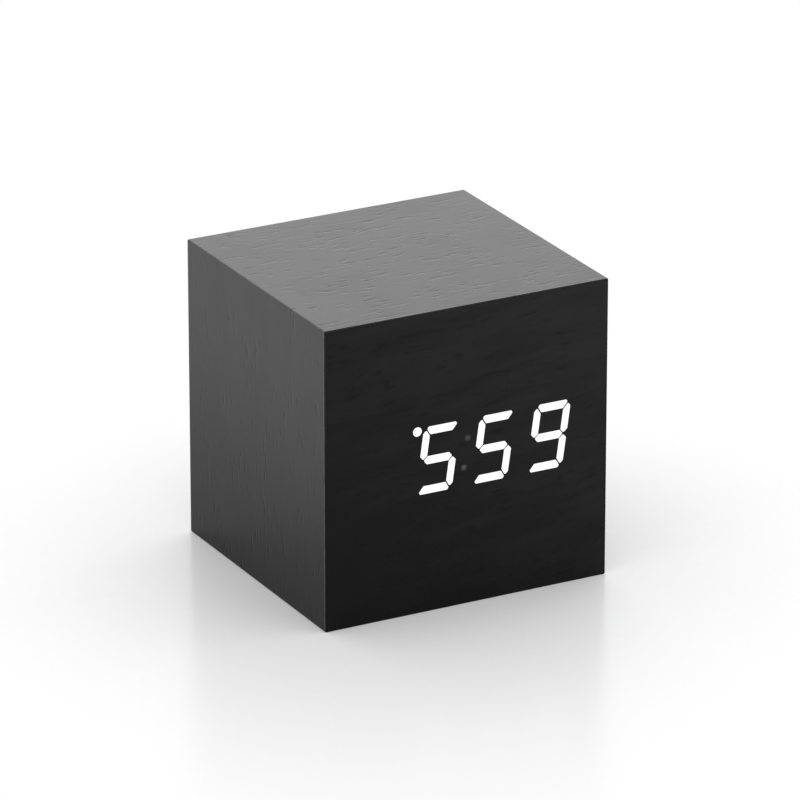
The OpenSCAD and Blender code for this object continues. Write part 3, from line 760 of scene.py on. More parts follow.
@dataclass(frozen=True)
class CircuitBoard(Finish):
    """Glass-fibre board under green lacquer, with tracks showing through and tinned pads."""

    name: str
    lacquer: Colour = (0.010, 0.105, 0.040)
    over_copper: Colour = (0.035, 0.210, 0.075)
    over_weave: Colour = (0.006, 0.07, 0.03)
    tin: Colour = (0.620, 0.610, 0.580)
    copper_share: float = 0.8
    weave_scale: float = 2.4
    depth: float = 0.03 * MM

    def paint(self, sheet: NodeSheet) -> dict[str, Feed]:
        """Lays tracks under the lacquer and tin on the pads.

        Args:
            sheet: The material's nodes.

        Returns:
            Sockets and values for the shader's inputs, by name.
        """
        place = sheet.millimetres()
        tracks = Tracks.place(sheet, place=place)
        weave = sheet.noise(place, self.weave_scale)
        green = sheet.blend(sheet.times(tracks["Copper"], self.copper_share), self.lacquer,
                            self.over_copper)
        green = sheet.blend(sheet.ease(weave, 0.5, 0.8, 0.0, 0.25), green, self.over_weave)
        raised = sheet.math("ADD", tracks["Copper"], tracks["Pads"])
        return {"Base Color": sheet.blend(tracks["Pads"], green, self.tin),
                "Metallic": tracks["Pads"],
                "Roughness": sheet.ease(weave, 0.2, 0.8, 0.28, 0.45),
                "Normal": sheet.bump(raised, self.depth)}


@dataclass(frozen=True)
class CellSleeve(Finish):
    """The plain sleeve of a dry cell: pale, with a dark band at the nub end and bare steel ends."""

    name: str
    tail_x: float
    nub_x: float
    body: Colour = (0.440, 0.450, 0.455)
    band: Colour = (0.045, 0.048, 0.052)
    grime: Colour = (0.09, 0.085, 0.08)
    steel: Colour = (0.60, 0.59, 0.57)
    band_share: float = 0.16
    tail_bare: float = 0.9
    nub_bare: float = 1.98
    border: float = 0.05
    grime_share: float = 0.12
    depth: float = 0.004 * MM

    def paint(self, sheet: NodeSheet) -> dict[str, Feed]:
        """Divides the cell along X into steel, body, band and steel.

        Args:
            sheet: The material's nodes.

        Returns:
            Sockets and values for the shader's inputs, by name.
        """
        place = sheet.millimetres()
        length = abs(self.nub_x - self.tail_x)
        way = math.copysign(1.0, self.nub_x - self.tail_x)
        along = sheet.times(sheet.math("SUBTRACT", sheet.split(place)[0], self.tail_x), way)
        bounds = (self.tail_bare, (1.0 - self.band_share) * length, length - self.nub_bare)
        past = [sheet.ease(along, bound - self.border, bound + self.border) for bound in bounds]
        bare = sheet.math("MAXIMUM", sheet.math("SUBTRACT", 1.0, past[0]), past[2])
        masks = Brushing.place(sheet, place=place)
        sleeve = sheet.blend(past[1], self.body, self.band)
        sleeve = sheet.blend(sheet.times(masks["Tarnish"], self.grime_share), sleeve, self.grime)
        return {"Base Color": sheet.blend(bare, sleeve, self.steel),
                "Metallic": bare,
                "Roughness": sheet.ease(masks["Scratches"], 0.2, 0.8, 0.24, 0.40),
                "Normal": sheet.bump(masks["Scratches"], self.depth)}


@dataclass(frozen=True)
class Vinyl(Finish):
    """Soft wire insulation, scuffed along its length, with one edge wire of another colour."""

    name: str
    colour: Colour
    edge_colour: Colour
    edge_x: float
    border: float = 0.02
    scuff_scale: float = 1.3
    dulled: float = 0.6
    depth: float = 0.02 * MM

    def paint(self, sheet: NodeSheet) -> dict[str, Feed]:
        """Colours the wires, the edge one past a place on X.

        Args:
            sheet: The material's nodes.

        Returns:
            Sockets and values for the shader's inputs, by name.
        """
        place = sheet.millimetres()
        scuff = sheet.noise(place, self.scuff_scale, 4.0)
        x = sheet.split(place)[0]
        past = sheet.ease(x, self.edge_x - self.border, self.edge_x + self.border)
        plain = sheet.blend(past, self.colour, self.edge_colour)
        dull = tuple(self.dulled * value for value in self.colour)
        return {"Base Color": sheet.blend(sheet.ease(scuff, 0.5, 0.75, 0.0, 0.35), plain, dull),
                "Roughness": sheet.ease(scuff, 0.3, 0.7, 0.34, 0.52),
                "Normal": sheet.bump(scuff, self.depth)}


# Finishes that several pieces share

NICKEL = Metal("nickel", (0.66, 0.65, 0.62), (0.42, 0.40, 0.36))
ZINC = Metal("zinc_steel", (0.55, 0.56, 0.58), (0.34, 0.33, 0.31), roughness=0.34)
GILT = Metal("gilt", (0.83, 0.62, 0.26), (0.60, 0.42, 0.16), roughness=0.22)
BLACK_EPOXY = Moulded("black_epoxy", (0.020, 0.020, 0.021), (0.028, 0.027, 0.027),
                      roughness=0.55, depth=0.015 * MM)
BLACK_ABS = Moulded("black_abs", (0.0150, 0.0150, 0.0160), (0.0175, 0.0175, 0.0185),
                    roughness=0.44, depth=0.06 * MM)
BUTTON_BLACK = Moulded("button_black", (0.018, 0.018, 0.020), (0.026, 0.026, 0.028),
                       roughness=0.36, texture=1.4)
WHITE_PLASTIC = Moulded("white_plastic", (0.82, 0.82, 0.79), (0.76, 0.76, 0.72))
IVORY_PLASTIC = Moulded("ivory_plastic", (0.74, 0.70, 0.58), (0.68, 0.63, 0.50))
AMBER_PLASTIC = Moulded("amber_plastic", (0.52, 0.20, 0.05), (0.44, 0.16, 0.04))
FILM = Moulded("film", (0.78, 0.78, 0.75), (0.70, 0.70, 0.67), roughness=0.35)
PHOSPHOR = Moulded("led_phosphor", (0.80, 0.70, 0.30), (0.72, 0.60, 0.22), roughness=0.3)


# Mesh tools


def corners(node: str) -> tuple[Vector, Vector]:
    """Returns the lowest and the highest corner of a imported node's box."""
    low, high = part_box(node)
    return Vector(low), Vector(high)


def middle(node: str) -> Vector:
    """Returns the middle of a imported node's box."""
    return sum(corners(node), Vector()) / 2


def add_box(mesh: Mesh, low: Vector, high: Vector) -> None:
    """Adds a box to a mesh.

    Args:
        mesh: The mesh.
        low: The box's lowest corner.
        high: Its highest corner.
    """
    size = Matrix.Diagonal((*(high - low), 1.0))
    place = Matrix.Translation((low + high) / 2)
    bmesh.ops.create_cube(mesh, size=1.0, matrix=place @ size)
    mesh.normal_update()


def round_edges(mesh: Mesh, edges: Iterable[Edge], radius: float, segments: int) -> None:
    """Rounds some edges of a mesh.

    Args:
        mesh: The mesh.
        edges: The edges to round.
        radius: How far the rounding reaches.
        segments: How many facets it has.
    """
    bmesh.ops.bevel(mesh, geom=list(edges), offset=radius, offset_type="OFFSET", segments=segments,
                    profile=0.5, affect="EDGES", clamp_overlap=True, material=-1)
    mesh.normal_update()


def sharp_edges(mesh: Mesh, degrees: float) -> list[Edge]:
    """Returns the edges where two faces meet at more than an angle."""
    limit = math.radians(degrees)
    return [edge for edge in mesh.edges if edge.is_manifold and edge.calc_face_angle() > limit]


def lathe(profile: Iterable[tuple[float, float]], centre: Vector, axis: Vector,
          ridge_r: float) -> Mesh:
    """Turns a closed solid from an outline, with its ridges rounded.

    Args:
        profile: Radius and height of each point, from the axis at the bottom to it at the top.
        centre: Where the outline's height is 0.
        axis: The way that height is counted.
        ridge_r: Radius of the rounded ridges.

    Returns:
        The solid's mesh.
    """
    mesh = bmesh.new()
    points = [mesh.verts.new((radius, 0.0, height)) for radius, height in profile]
    edges = [mesh.edges.new(pair) for pair in zip(points, points[1:])]
    bmesh.ops.spin(mesh, geom=points + edges, cent=(0, 0, 0), axis=(0, 0, 1), angle=math.tau,
                   steps=LATHE_STEPS, use_merge=True)
    bmesh.ops.remove_doubles(mesh, verts=mesh.verts, dist=MERGE_GAP)
    bmesh.ops.recalc_face_normals(mesh, faces=mesh.faces)
    mesh.normal_update()
    round_edges(mesh, sharp_edges(mesh, RIDGE_ANGLE), ridge_r, 3)
    turn = axis.to_track_quat("Z", "Y").to_matrix().to_4x4()
    bmesh.ops.transform(mesh, matrix=Matrix.Translation(centre) @ turn, verts=mesh.verts)
    return mesh


def tube(routes: Iterable[list[Vector]], radius: float) -> Mesh:
    """Makes round wires along lines of points, closed at their ends.

    Args:
        routes: The points that each wire follows.
        radius: The wires' radius.

    Returns:
        One mesh of all the wires.
    """
    curve = bpy.data.curves.new("route", "CURVE")
    curve.dimensions = "3D"
    curve.bevel_depth = radius
    curve.bevel_resolution = 4
    curve.use_fill_caps = True
    for route in routes:
        spline = curve.splines.new("POLY")
        spline.points.add(len(route) - 1)
        for target, point in zip(spline.points, route):
            target.co = (*point, 1.0)
    holder = bpy.data.objects.new("route", curve)
    drawn = bpy.data.meshes.new_from_object(holder)
    mesh = bmesh.new()
    mesh.from_mesh(drawn)
    bpy.data.objects.remove(holder)
    bpy.data.curves.remove(curve)
    bpy.data.meshes.remove(drawn)
    bmesh.ops.remove_doubles(mesh, verts=mesh.verts, dist=WIRE_MERGE_GAP)
    bmesh.ops.recalc_face_normals(mesh, faces=mesh.faces)
    return mesh


def smooth_route(points: list[Vector], steps: int) -> list[Vector]:
    """Draws a smooth curve through points.

    Args:
        points: The points.
        steps: Points on each stretch between two of them.

    Returns:
        The curve's points.
    """
    ends = [points[0], *points, points[-1]]
    route = []
    for before, start, end, after in zip(ends, ends[1:], ends[2:], ends[3:]):
        for t in (step / steps for step in range(steps)):
            pull = 2 * before - 5 * start + 4 * end - after
            swing = 3 * start - before - 3 * end + after
            route.append((2 * start + (end - before) * t + pull * t**2 + swing * t**3) / 2)
    return [*route, points[-1]]


@dataclass
class Bench:
    """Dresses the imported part's nodes and turns meshes into finished pieces."""

    nodes: Mapping[str, bpy.types.Object]
    slots: Mapping[str, str]
    weld: float = 0.002 * MM
    broken_angle: float = math.radians(40.0)
    crease: float = 35.0

    def dress(self, finish: Finish, *nodes: str) -> None:
        """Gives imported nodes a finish.

        Args:
            finish: The finish.
            nodes: The nodes' names.
        """
        for name in nodes:
            for slot in self.nodes[name].material_slots:
                slot.material = finish.material()
            LOG.info("dressed %s in %s", name, finish.name)

    def soften(self, width: float, *nodes: str) -> None:
        """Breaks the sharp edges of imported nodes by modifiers, which leave their meshes alone.

        Args:
            width: Width of the broken edges.
            nodes: The nodes' names.
        """
        for name in nodes:
            weld = self.nodes[name].modifiers.new("weld", "WELD")
            weld.merge_threshold = self.weld
            bevel = self.nodes[name].modifiers.new("broken_edges", "BEVEL")
            bevel.width = width
            bevel.segments = 2
            bevel.limit_method = "ANGLE"
            bevel.angle_limit = self.broken_angle

    def finish_piece(self, name: str, mesh: Mesh, finish: Finish, body: Body, *stands_for: str,
                     slot: str = "") -> None:
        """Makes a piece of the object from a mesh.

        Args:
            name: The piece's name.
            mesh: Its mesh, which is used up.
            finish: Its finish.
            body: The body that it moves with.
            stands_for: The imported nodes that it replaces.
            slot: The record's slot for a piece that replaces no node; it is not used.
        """
        for face in mesh.faces:
            face.smooth = True
        for edge in sharp_edges(mesh, self.crease):
            edge.smooth = False
        data = bpy.data.meshes.new(name)
        mesh.to_mesh(data)
        mesh.free()
        data.materials.append(finish.material())
        piece = bpy.data.objects.new(name, data)
        bpy.context.scene.collection.objects.link(piece)
        even = piece.modifiers.new("even_normals", "WEIGHTED_NORMAL")
        even.keep_sharp = True
        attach(piece, body.value)
        if stands_for:
            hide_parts(*stands_for)
        LOG.info("made %s on %s", name, body.value)


# Sub-assemblies


@dataclass
class CaseShell:
    """The veneered box: a wrap round four sides, a front skin, and the boards behind them."""

    bench: Bench
    veneer_t: float = 0.4 * MM
    edge_r: float = 0.3 * MM
    fold_segments: int = 5
    rim_r: float = 0.12 * MM
    rim_segments: int = 3
    seam_r: float = 0.07 * MM
    face_tilt: float = math.radians(-5.0)
    wrap_lacquer: float = 0.70
    face_lacquer: float = 0.05
    # Painted light: how much lighter the front's streaks are painted towards the right.
    face_painted_light: float = 0.17
    square_angle: float = 80.0
    right_share: float = 0.45
    base_share: float = 0.05
    low: Vector = field(init=False)
    high: Vector = field(init=False)

    def __post_init__(self) -> None:
        """Takes the case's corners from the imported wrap."""
        self.low, self.high = corners("veneer_wrap")

    def build(self) -> None:
        """Makes the wrap and dresses the skin, the boards and the glue blocks."""
        mesh = self.wrap()
        self.unroll(mesh)
        half = tuple((self.high - self.low) / 2 / MM)
        centre = tuple((self.high + self.low) / 2 / MM)
        veneer = partial(Veneer, half_size=half, middle=centre, fold_r=self.edge_r / MM)
        sleeve = veneer("wrap_veneer", Grain.ROUND_THE_WRAP, lacquer=self.wrap_lacquer)
        self.bench.finish_piece("veneer_sleeve", mesh, sleeve, Body.CASE, "veneer_wrap")
        skin = veneer("face_veneer", Grain.ALONG_THE_FACE, lacquer=self.face_lacquer,
                      tilt=self.face_tilt, right_lift=self.face_painted_light)
        self.bench.dress(skin, "front_veneer")
        board = Fibreboard("fibreboard", rear=self.high.y / MM)
        self.bench.dress(board, "top_board", "bottom_board", "left_board", "right_board",
                         "front_board")
        self.bench.dress(Pine("pine"), "corner_blocks")

    def wrap(self) -> Mesh:
        """Folds the wrap: a sleeve with tight folds, square corners inside and soft rims.

        Returns:
            The wrap's mesh.
        """
        mesh = bmesh.new()
        add_box(mesh, self.low, self.high)
        ends = [face for face in mesh.faces if abs(face.normal.y) > 0.5]
        bmesh.ops.delete(mesh, geom=ends, context="FACES_ONLY")
        bmesh.ops.solidify(mesh, geom=mesh.faces, thickness=self.veneer_t)
        mesh.normal_update()
        folds = [edge for edge in sharp_edges(mesh, self.square_angle)
                 if self.is_outside(edge) and not self.is_rim(edge)]
        round_edges(mesh, folds, self.edge_r, self.fold_segments)
        rims = [edge for edge in mesh.edges if self.is_rim(edge) and self.is_outside(edge)]
        round_edges(mesh, rims, self.rim_r, self.rim_segments)
        seams = [edge for edge in sharp_edges(mesh, self.square_angle) if self.is_rim(edge)]
        round_edges(mesh, seams, self.seam_r, 1)
        return mesh

    def is_rim(self, edge: Edge) -> bool:
        """Returns whether an edge of the sleeve lies between a side and an end."""
        return sum(abs(face.normal.y) > 0.9 for face in edge.link_faces) == 1

    def is_outside(self, edge: Edge) -> bool:
        """Tells the sleeve's outside from its inside.

        Args:
            edge: An edge of the sleeve.

        Returns:
            Whether the edge is on the outside.
        """
        reach = (self.high - self.low) / 2 - Vector.Fill(3, self.veneer_t / 2)
        place = (edge.verts[0].co + edge.verts[1].co - self.high - self.low) / 2
        return abs(place.x) > reach.x or abs(place.z) > reach.z

    def unroll(self, mesh: Mesh) -> None:
        """Lays the grain round the wrap: up the left, over the top, down the right, back below.

        Args:
            mesh: The wrap's mesh, which gets a UV map in metres, with U round the wrap.
        """
        layer = mesh.loops.layers.uv.new("round_the_wrap")
        width, _, height = self.high - self.low
        for face in mesh.faces:
            centre = face.calc_center_median()
            right = centre.x > self.right_share * width
            below = centre.z < self.base_share * height
            for loop in face.loops:
                x, y, z = loop.vert.co - self.low
                if below and not right:
                    u = 2 * height + width + (width - x) + z
                elif right:
                    u = height + width + (height - z) + (width - x if below else x - width)
                else:
                    u = z + x
                loop[layer].uv = (u, y)


@dataclass
class Display:
    """The lit digits and, behind the front, the light box, its boards and the ribbon cable."""

    bench: Bench
    glow: float = 1.1
    colon_glow: float = 0.06
    colon_skin: Colour = (0.008, 0.008, 0.008)
    colon_r: float = 0.7 * MM
    colon_spread: float = 1.05
    wire_count: int = 6
    wire_spacing: float = 1.0 * MM
    wire_r: float = 0.5 * MM
    bow: float = 3.0 * MM
    steps: int = 40

    def build(self) -> None:
        """Dresses the windows, the light box and the boards, and makes the ribbon."""
        dress = self.bench.dress
        dress(Lit("lit_window", glow=self.glow), "lit_segments", "status_light")
        dress(self.dim_window(), "colon_lights")
        dress(FILM, "diffuser_film")
        dress(WHITE_PLASTIC, "segment_reflector", "display_spacers")
        dress(CircuitBoard("circuit_board"), "display_board", "key_board")
        dress(PHOSPHOR, "led_chips")
        dress(BLACK_EPOXY, "controller_chip", "buzzer")
        dress(NICKEL, "crystal")
        dress(ZINC, "display_screws", "key_board_screws")
        dress(IVORY_PLASTIC, "display_socket", "key_socket")
        self.ribbon()

    def dim_window(self) -> Lit:
        """Finds the middles of the colon's two dots, which are off and only catch stray light.

        Returns:
            The colon's finish.
        """
        low, high = (corner / MM for corner in corners("colon_lights"))
        inset = Vector((self.colon_r, 0.0, self.colon_r)) / MM
        return Lit("dim_window", glow=self.colon_glow, skin=self.colon_skin,
                   centres=(tuple(low + inset), tuple(high - inset)),
                   reach=self.colon_spread * self.colon_r / MM)

    def ribbon(self) -> None:
        """Makes the ribbon: fused round wires that leave both sockets level and bow upwards."""
        start, end = middle("display_socket"), middle("key_socket")
        start.y = corners("display_socket")[1].y
        end.y = corners("key_socket")[0].y
        routes = []
        for wire in range(self.wire_count):
            x = start.x + (wire - (self.wire_count - 1) / 2) * self.wire_spacing
            route = []
            for t in (step / self.steps for step in range(self.steps + 1)):
                ease = (3 - 2 * t) * t * t
                lift = self.bow * math.sin(math.pi * t) ** 2
                rise = start.z + (end.z - start.z) * ease + lift
                route.append(Vector((x, start.y + (end.y - start.y) * t, rise)))
            routes.append(route)
        edge_x = (start.x + (self.wire_count / 2 - 1) * self.wire_spacing) / MM
        grey = Vinyl("grey_vinyl", (0.30, 0.31, 0.33), (0.42, 0.03, 0.025), edge_x)
        mesh = tube(routes, self.wire_r)
        self.bench.finish_piece("ribbon_wires", mesh, grey, Body.CASE, "ribbon_cable")


@dataclass
class KeyStrip:
    """The three buttons with their switches, and the power socket beside them."""

    bench: Bench
    dish: float = 0.25 * MM
    dish_fall: float = 0.9
    dish_rings: tuple[float, ...] = (0.85, 0.6, 0.3)
    cap_fillet: float = 0.22 * MM
    flange_rim: float = 0.8 * MM
    flange_t: float = 0.9 * MM
    ridge_r: float = 0.1 * MM
    socket_cut: float = 0.35
    socket_wall: float = 0.3 * MM
    socket_r: float = 0.35 * MM
    socket_base: float = 0.6 * MM
    pin_count: int = 5
    pin_spacing: float = 0.65 * MM
    pin_w: float = 0.4 * MM
    pin_proud: float = 0.05 * MM
    pin_end: float = 0.3 * MM
    pin_r: float = 0.02 * MM

    def build(self) -> None:
        """Makes the caps and the socket, and dresses the switches."""
        for name, body in (("set", Body.SET_KEY), ("up", Body.UP_KEY), ("down", Body.DOWN_KEY)):
            self.cap(name, body)
            self.bench.dress(BLACK_EPOXY, f"{name}_switch")
            self.bench.dress(AMBER_PLASTIC, f"{name}_plunger")
        self.socket()
        self.bench.dress(BLACK_EPOXY, "usb_tongue")
        self.pins()

    def cap(self, name: str, body: Body) -> None:
        """Turns one button cap: a flange, a straight side and a dished top.

        Args:
            name: The button's name.
            body: The body that it moves with.
        """
        low, high = corners(f"{name}_button")
        flange_r = (high.x - low.x) / 2
        cap_r = flange_r - self.flange_rim
        top = high.y - low.y
        hollow = [(cap_r * share, top - self.dish * (1 - share**2) * self.dish_fall)
                  for share in self.dish_rings]
        profile = [(0.0, 0.0), (flange_r, 0.0), (flange_r, self.flange_t), (cap_r, self.flange_t),
                   (cap_r, top - self.cap_fillet), (cap_r - self.cap_fillet, top), *hollow,
                   (0.0, top - self.dish)]
        foot = middle(f"{name}_button")
        foot.y = low.y
        mesh = lathe(profile, foot, Vector((0, 1, 0)), self.ridge_r)
        self.bench.finish_piece(f"{name}_cap", mesh, BUTTON_BLACK, body, f"{name}_button")

    def socket(self) -> None:
        """Folds the socket's steel shell: a flat outline, drawn out and hollowed at its mouth."""
        low, high = corners("usb_shell")
        length = high.y - low.y
        cut = self.socket_cut * (high.z - low.z)
        outline = [(low.x, high.z), (high.x, high.z), (high.x, low.z + cut), (high.x - cut, low.z),
                   (low.x + cut, low.z), (low.x, low.z + cut)]
        mesh = bmesh.new()
        mesh.faces.new([mesh.verts.new((x, low.y, z)) for x, z in outline])
        bmesh.ops.bevel(mesh, geom=mesh.verts[:], offset=self.socket_r, offset_type="OFFSET",
                        segments=4, profile=0.5, affect="VERTICES", material=-1)
        drawn = bmesh.ops.extrude_face_region(mesh, geom=mesh.faces[:], use_keep_orig=True)["geom"]
        far_end = [item for item in drawn if isinstance(item, bmesh.types.BMVert)]
        bmesh.ops.translate(mesh, vec=(0, length, 0), verts=far_end)
        bmesh.ops.recalc_face_normals(mesh, faces=mesh.faces)
        mouth = max(mesh.faces, key=lambda face: face.calc_center_median().y)
        bmesh.ops.inset_region(mesh, faces=[mouth], thickness=self.socket_wall,
                               use_even_offset=True)
        deep = bmesh.ops.extrude_discrete_faces(mesh, faces=[mouth])["faces"][0]
        bmesh.ops.translate(mesh, vec=(0, self.socket_base - length, 0), verts=deep.verts)
        mesh.normal_update()
        self.bench.finish_piece("socket_shell", mesh, NICKEL, Body.CASE, "usb_shell")

    def pins(self) -> None:
        """Makes the gilt contact strips under the socket's tongue."""
        low, high = corners("usb_tongue")
        mesh = bmesh.new()
        for pin in range(self.pin_count):
            x = (low.x + high.x) / 2 + (pin - (self.pin_count - 1) / 2) * self.pin_spacing
            add_box(mesh, Vector((x - self.pin_w / 2, low.y, low.z - self.pin_proud)),
                    Vector((x + self.pin_w / 2, high.y - self.pin_end, low.z + self.pin_proud)))
        round_edges(mesh, mesh.edges, self.pin_r, 1)
        self.bench.finish_piece("socket_pins", mesh, GILT, Body.CASE, slot="nickel")


@dataclass
class RearPanel:
    """The recessed panel that closes the case, its screws and the battery door."""

    bench: Bench
    broken_edge: float = 0.12 * MM

    def build(self) -> None:
        """Dresses the panel, the door and the screws, and breaks their edges."""
        self.bench.dress(BLACK_ABS, "rear_panel", "battery_door")
        self.bench.dress(ZINC, "rear_screws")
        self.bench.soften(self.broken_edge, "rear_panel", "battery_door")
        self.bench.soften(self.broken_edge / 2, "rear_screws")


@dataclass
class BatteryBay:
    """Three cells with their springs, contacts and the two leads to the key board."""

    bench: Bench
    cell_ways: tuple[int, ...] = (1, -1, 1)
    nub_r: float = 1.9 * MM
    nub_l: float = 1.0 * MM
    nub_flare: float = 0.3 * MM
    crimp_r: float = 0.45 * MM
    groove: float = 0.18 * MM
    hem: float = 0.9 * MM
    slope: float = 0.1 * MM
    base_ring: float = 0.6 * MM
    base_slope: float = 0.3 * MM
    base_dent: float = 0.12 * MM
    washer_inset: float = 0.7 * MM
    washer_dent: float = 0.2 * MM
    ridge_r: float = 0.08 * MM
    wire_r: float = 0.25 * MM
    coil_r: float = 3.2 * MM
    coil_tip_r: float = 2.2 * MM
    coil_turns: int = 3
    coil_end_gap: float = 0.05 * MM
    turn_steps: int = 48
    lead_r: float = 0.6 * MM
    lead_steps: int = 10
    tab_gap: float = 0.1 * MM
    lead_out: float = 1.4 * MM
    lead_clear: float = 2.5 * MM
    lead_climb: float = 3.0 * MM
    lead_lean: float = 3.0 * MM
    lead_close: float = 2.0 * MM
    lead_over: float = 0.5 * MM
    lead_in: float = 1.0 * MM
    lead_end_x: float = 18.2 * MM
    lead_end_rise: float = 2.1 * MM

    def build(self) -> None:
        """Makes the cells, springs and leads, and dresses the contact plates."""
        for index, way in enumerate(self.cell_ways, start=1):
            self.cell(index, way)
        self.bench.dress(NICKEL, "positive_contact", "negative_contact", "bridge_contacts")
        self.springs()
        self.lead("positive", 1, (0.42, 0.025, 0.020))
        self.lead("negative", -1, (0.022, 0.022, 0.024))

    def cell(self, index: int, way: int) -> None:
        """Turns one cell: a can crimped at both ends, a sealing washer and the nub.

        Args:
            index: The cell's number, from the bottom.
            way: 1 if its nub points along +X, -1 if along -X.
        """
        low, high = corners(f"cell_{index}")
        radius = (high.z - low.z) / 2
        length = high.x - low.x
        can = length - self.nub_l
        rim = radius - self.crimp_r
        waist = radius - self.groove
        washer_r = rim - self.washer_inset
        profile = [
            (0.0, self.base_dent), (rim - self.base_ring - self.base_slope, self.base_dent),
            (rim - self.base_ring, 0.0), (rim, 0.0),
            (waist, self.crimp_r), (waist, self.hem - self.slope), (radius, self.hem),
            (radius, can - self.hem), (waist, can - self.hem + self.slope),
            (waist, can - self.crimp_r), (rim, can), (washer_r, can),
            (washer_r - self.slope, can - self.washer_dent),
            (self.nub_r + self.nub_flare, can - self.washer_dent),
            (self.nub_r, can), (self.nub_r, length), (0.0, length)]
        tail, nub = (low, high) if way > 0 else (high, low)
        foot = middle(f"cell_{index}")
        foot.x = tail.x
        sleeve = CellSleeve(f"cell_jacket_{index}", tail_x=tail.x / MM, nub_x=nub.x / MM)
        mesh = lathe(profile, foot, Vector((way, 0, 0)), self.ridge_r)
        self.bench.finish_piece(f"dry_cell_{index}", mesh, sleeve, Body.CASE, f"cell_{index}")

    def springs(self) -> None:
        """Winds the three cone springs, each from the contact plate to its cell."""
        left, right = corners("bridge_contacts")
        plate = corners("positive_contact")
        plate_t = plate[1].x - plate[0].x
        clear = self.wire_r + self.coil_end_gap
        routes = []
        for index, way in enumerate(self.cell_ways, start=1):
            low, high = corners(f"cell_{index}")
            start = left.x + plate_t if way > 0 else right.x - plate_t
            tail = low.x if way > 0 else high.x
            rise = abs(tail - start) - 2 * clear
            foot = middle(f"cell_{index}")
            foot.x = start + way * clear
            routes.append([foot + self.curl(step / self.turn_steps, rise, way)
                           for step in range(self.coil_turns * self.turn_steps + 1)])
        mesh = tube(routes, self.wire_r)
        self.bench.finish_piece("cone_springs", mesh, NICKEL, Body.CASE, "battery_springs")

    def curl(self, turn: float, rise: float, way: int) -> Vector:
        """Finds a point on a spring's wire.

        Args:
            turn: Turns from the contact plate.
            rise: Length of the spring between the middles of its end curls.
            way: 1 where the spring runs along +X, -1 along -X.

        Returns:
            The point, counted from the middle of the first curl.
        """
        share = turn / self.coil_turns
        radius = self.coil_r + (self.coil_tip_r - self.coil_r) * share
        angle = math.tau * turn
        across, up = way * radius * math.cos(angle), radius * math.sin(angle)
        return Vector((way * rise * share, across, up))

    def lead(self, name: str, side: int, colour: Colour) -> None:
        """Lays one lead from its solder tab, up the front of the tray, to the key board.

        Args:
            name: The lead's name.
            side: 1 on the right of someone facing the display, -1 on the left.
            colour: Its insulation's colour.
        """
        low, high = corners(f"{name}_contact")
        board = corners("key_board")[0]
        tab = middle(f"{name}_contact")
        tab.y = low.y - self.tab_gap
        inner_x = side * (min(abs(low.x), abs(high.x)) - self.lead_r)
        bend_x = inner_x - side * self.lead_lean
        end = Vector((side * self.lead_end_x, board.y, board.z + self.lead_end_rise))
        points = [tab, tab - Vector((0, self.lead_out, 0)),
                  Vector((inner_x, low.y - self.lead_clear, tab.z + self.lead_climb)),
                  Vector((bend_x, low.y - self.lead_close, board.z + self.lead_over)),
                  Vector((end.x, (low.y + end.y) / 2, end.z)),
                  end - Vector((0, self.lead_in, 0)), end]
        vinyl = Vinyl(f"{name}_vinyl", colour, colour, 0.0)
        mesh = tube([smooth_route(points, self.lead_steps)], self.lead_r)
        self.bench.finish_piece(f"{name}_wire", mesh, vinyl, Body.CASE, f"{name}_lead")


# Studio


def seen_rays(sheet: NodeSheet) -> Socket:
    """Tells the rays that look at the background from those that only light the clock.

    Args:
        sheet: The nodes of a material or the world.

    Returns:
        A socket that is 1 for rays from the eye, a mirror or glass, and 0 otherwise.
    """
    path = sheet.add("LightPath").outputs
    seen = sheet.math("MAXIMUM", path["Is Camera Ray"], path["Is Glossy Ray"])
    return sheet.math("MAXIMUM", seen, path["Is Transmission Ray"])


@dataclass(frozen=True)
class PaleFloor(Finish):
    """Smooth white board that keeps the clock's shadow, mirrors it faintly and fades to white."""

    name: str = "pale_floor"
    board: Colour = (0.95, 0.95, 0.95)
    cloud: Colour = (0.92, 0.92, 0.92)
    cloud_scale: float = 0.5
    roughness: float = 0.2
    gloss: float = 0.18
    near: float = 60.0
    far: float = 160.0

    def paint(self, sheet: NodeSheet) -> dict[str, Feed]:
        """Clouds the board faintly.

        Args:
            sheet: The material's nodes.

        Returns:
            Sockets and values for the shader's inputs, by name.
        """
        clouds = sheet.noise(sheet.millimetres(), self.cloud_scale, 3.0)
        return {"Base Color": sheet.blend(clouds, self.board, self.cloud),
                "Roughness": self.roughness,
                "Specular IOR Level": self.gloss}

    def surface(self, sheet: NodeSheet, shaded: Socket) -> Socket:
        """Fades the board to plain white away from the clock, for the eye and for mirrors.

        Args:
            sheet: The material's nodes.
            shaded: The board as it is lit.

        Returns:
            The board's surface.
        """
        distance = sheet.vector("LENGTH", sheet.millimetres())
        share = sheet.times(sheet.ease(distance, self.near, self.far), seen_rays(sheet))
        white = sheet.add("Emission", {"Color": (*WHITE, 1.0), "Strength": 1.0}).outputs[0]
        return sheet.add("MixShader", {0: share, 1: shaded, 2: white}).outputs[0]


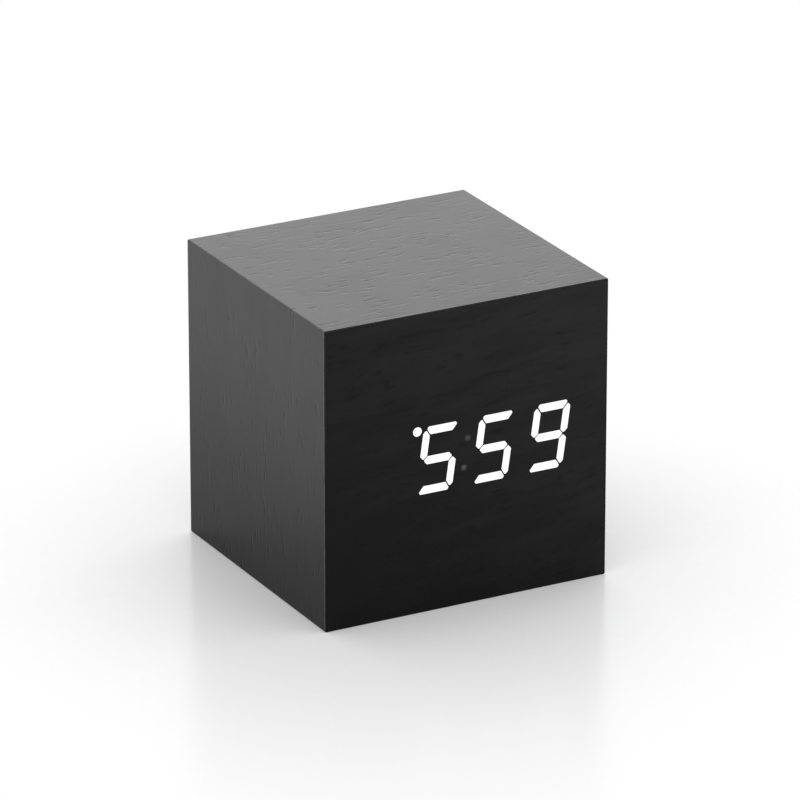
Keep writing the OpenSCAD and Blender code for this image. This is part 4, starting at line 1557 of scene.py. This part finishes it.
@dataclass
class Studio:
    """The floor, the light and the camera."""

    floor_side: float = 6.0
    ambient: float = 1.05
    lamp_place: Triple = (0.55, 1.00, 0.50)
    lamp_side: float = 0.80
    lamp_radiance: float = 0.60
    azimuth: float = math.radians(-28.163)
    elevation: float = math.radians(21.388)
    distance: float = 1.3146
    aim: Triple = (0.000878, 0.000075, 0.032227)
    lens: float = 301.2
    sensor: float = 36.0
    clip_start: float = 0.01

    def build(self) -> None:
        """Lays the floor, lights it and sets up the camera."""
        bpy.context.scene.view_settings.view_transform = "Standard"
        self.lay_floor()
        self.light_world()
        self.hang_lamp()
        self.set_camera()

    def lay_floor(self) -> None:
        """Lays the board that the clock stands on."""
        mesh = bmesh.new()
        bmesh.ops.create_grid(mesh, x_segments=1, y_segments=1, size=self.floor_side / 2)
        data = bpy.data.meshes.new("floor")
        mesh.to_mesh(data)
        mesh.free()
        data.materials.append(PaleFloor().material())
        floor = bpy.data.objects.new("floor", data)
        bpy.context.scene.collection.objects.link(floor)

    def light_world(self) -> None:
        """Surrounds the clock with white for the eye and mirrors, and with a plain light."""
        world = bpy.data.worlds.new("surroundings")
        world.use_nodes = True
        bpy.context.scene.world = world
        sheet = NodeSheet(world.node_tree)
        background = world.node_tree.nodes["Background"]
        background.inputs["Color"].default_value = (*WHITE, 1.0)
        strength = sheet.ease(seen_rays(sheet), 0.0, 1.0, self.ambient, 1.0)
        sheet.feed(background.inputs["Strength"], strength)

    def hang_lamp(self) -> None:
        """Hangs a square soft lamp behind the clock, on the right, that looks at it."""
        lamp = bpy.data.lights.new("back_box", "AREA")
        lamp.size = self.lamp_side
        lamp.energy = self.lamp_radiance * math.pi * self.lamp_side**2
        holder = bpy.data.objects.new("back_box", lamp)
        holder.location = self.lamp_place
        look = Vector(self.aim) - Vector(self.lamp_place)
        holder.rotation_euler = look.to_track_quat("-Z", "Y").to_euler()
        bpy.context.scene.collection.objects.link(holder)

    def set_camera(self) -> None:
        """Sets the camera where the photograph was taken from."""
        lens = bpy.data.cameras.new("camera")
        lens.lens = self.lens
        lens.sensor_width = self.sensor
        lens.clip_start = self.clip_start
        camera = bpy.data.objects.new("camera", lens)
        level = math.cos(self.elevation)
        away = Vector((math.sin(self.azimuth) * level, -math.cos(self.azimuth) * level,
                       math.sin(self.elevation)))
        camera.location = Vector(self.aim) + away * self.distance
        camera.rotation_euler = away.to_track_quat("Z", "Y").to_euler()
        bpy.context.scene.collection.objects.link(camera)
        bpy.context.scene.camera = camera


def main() -> None:
    """Builds the clock's sub-assemblies in order, then the studio."""
    logging.basicConfig(level=logging.INFO, format="%(name)s: %(message)s")
    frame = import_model()
    slots = {part["node"]: part["material_slot"] for part in frame["record"]["subparts"]}
    bench = Bench(frame["nodes"], slots)
    for assembly in (CaseShell(bench), Display(bench), KeyStrip(bench), RearPanel(bench),
                     BatteryBay(bench), Studio()):
        LOG.info("building %s", type(assembly).__name__)
        assembly.build()


if __name__ == "__main__":
    main()
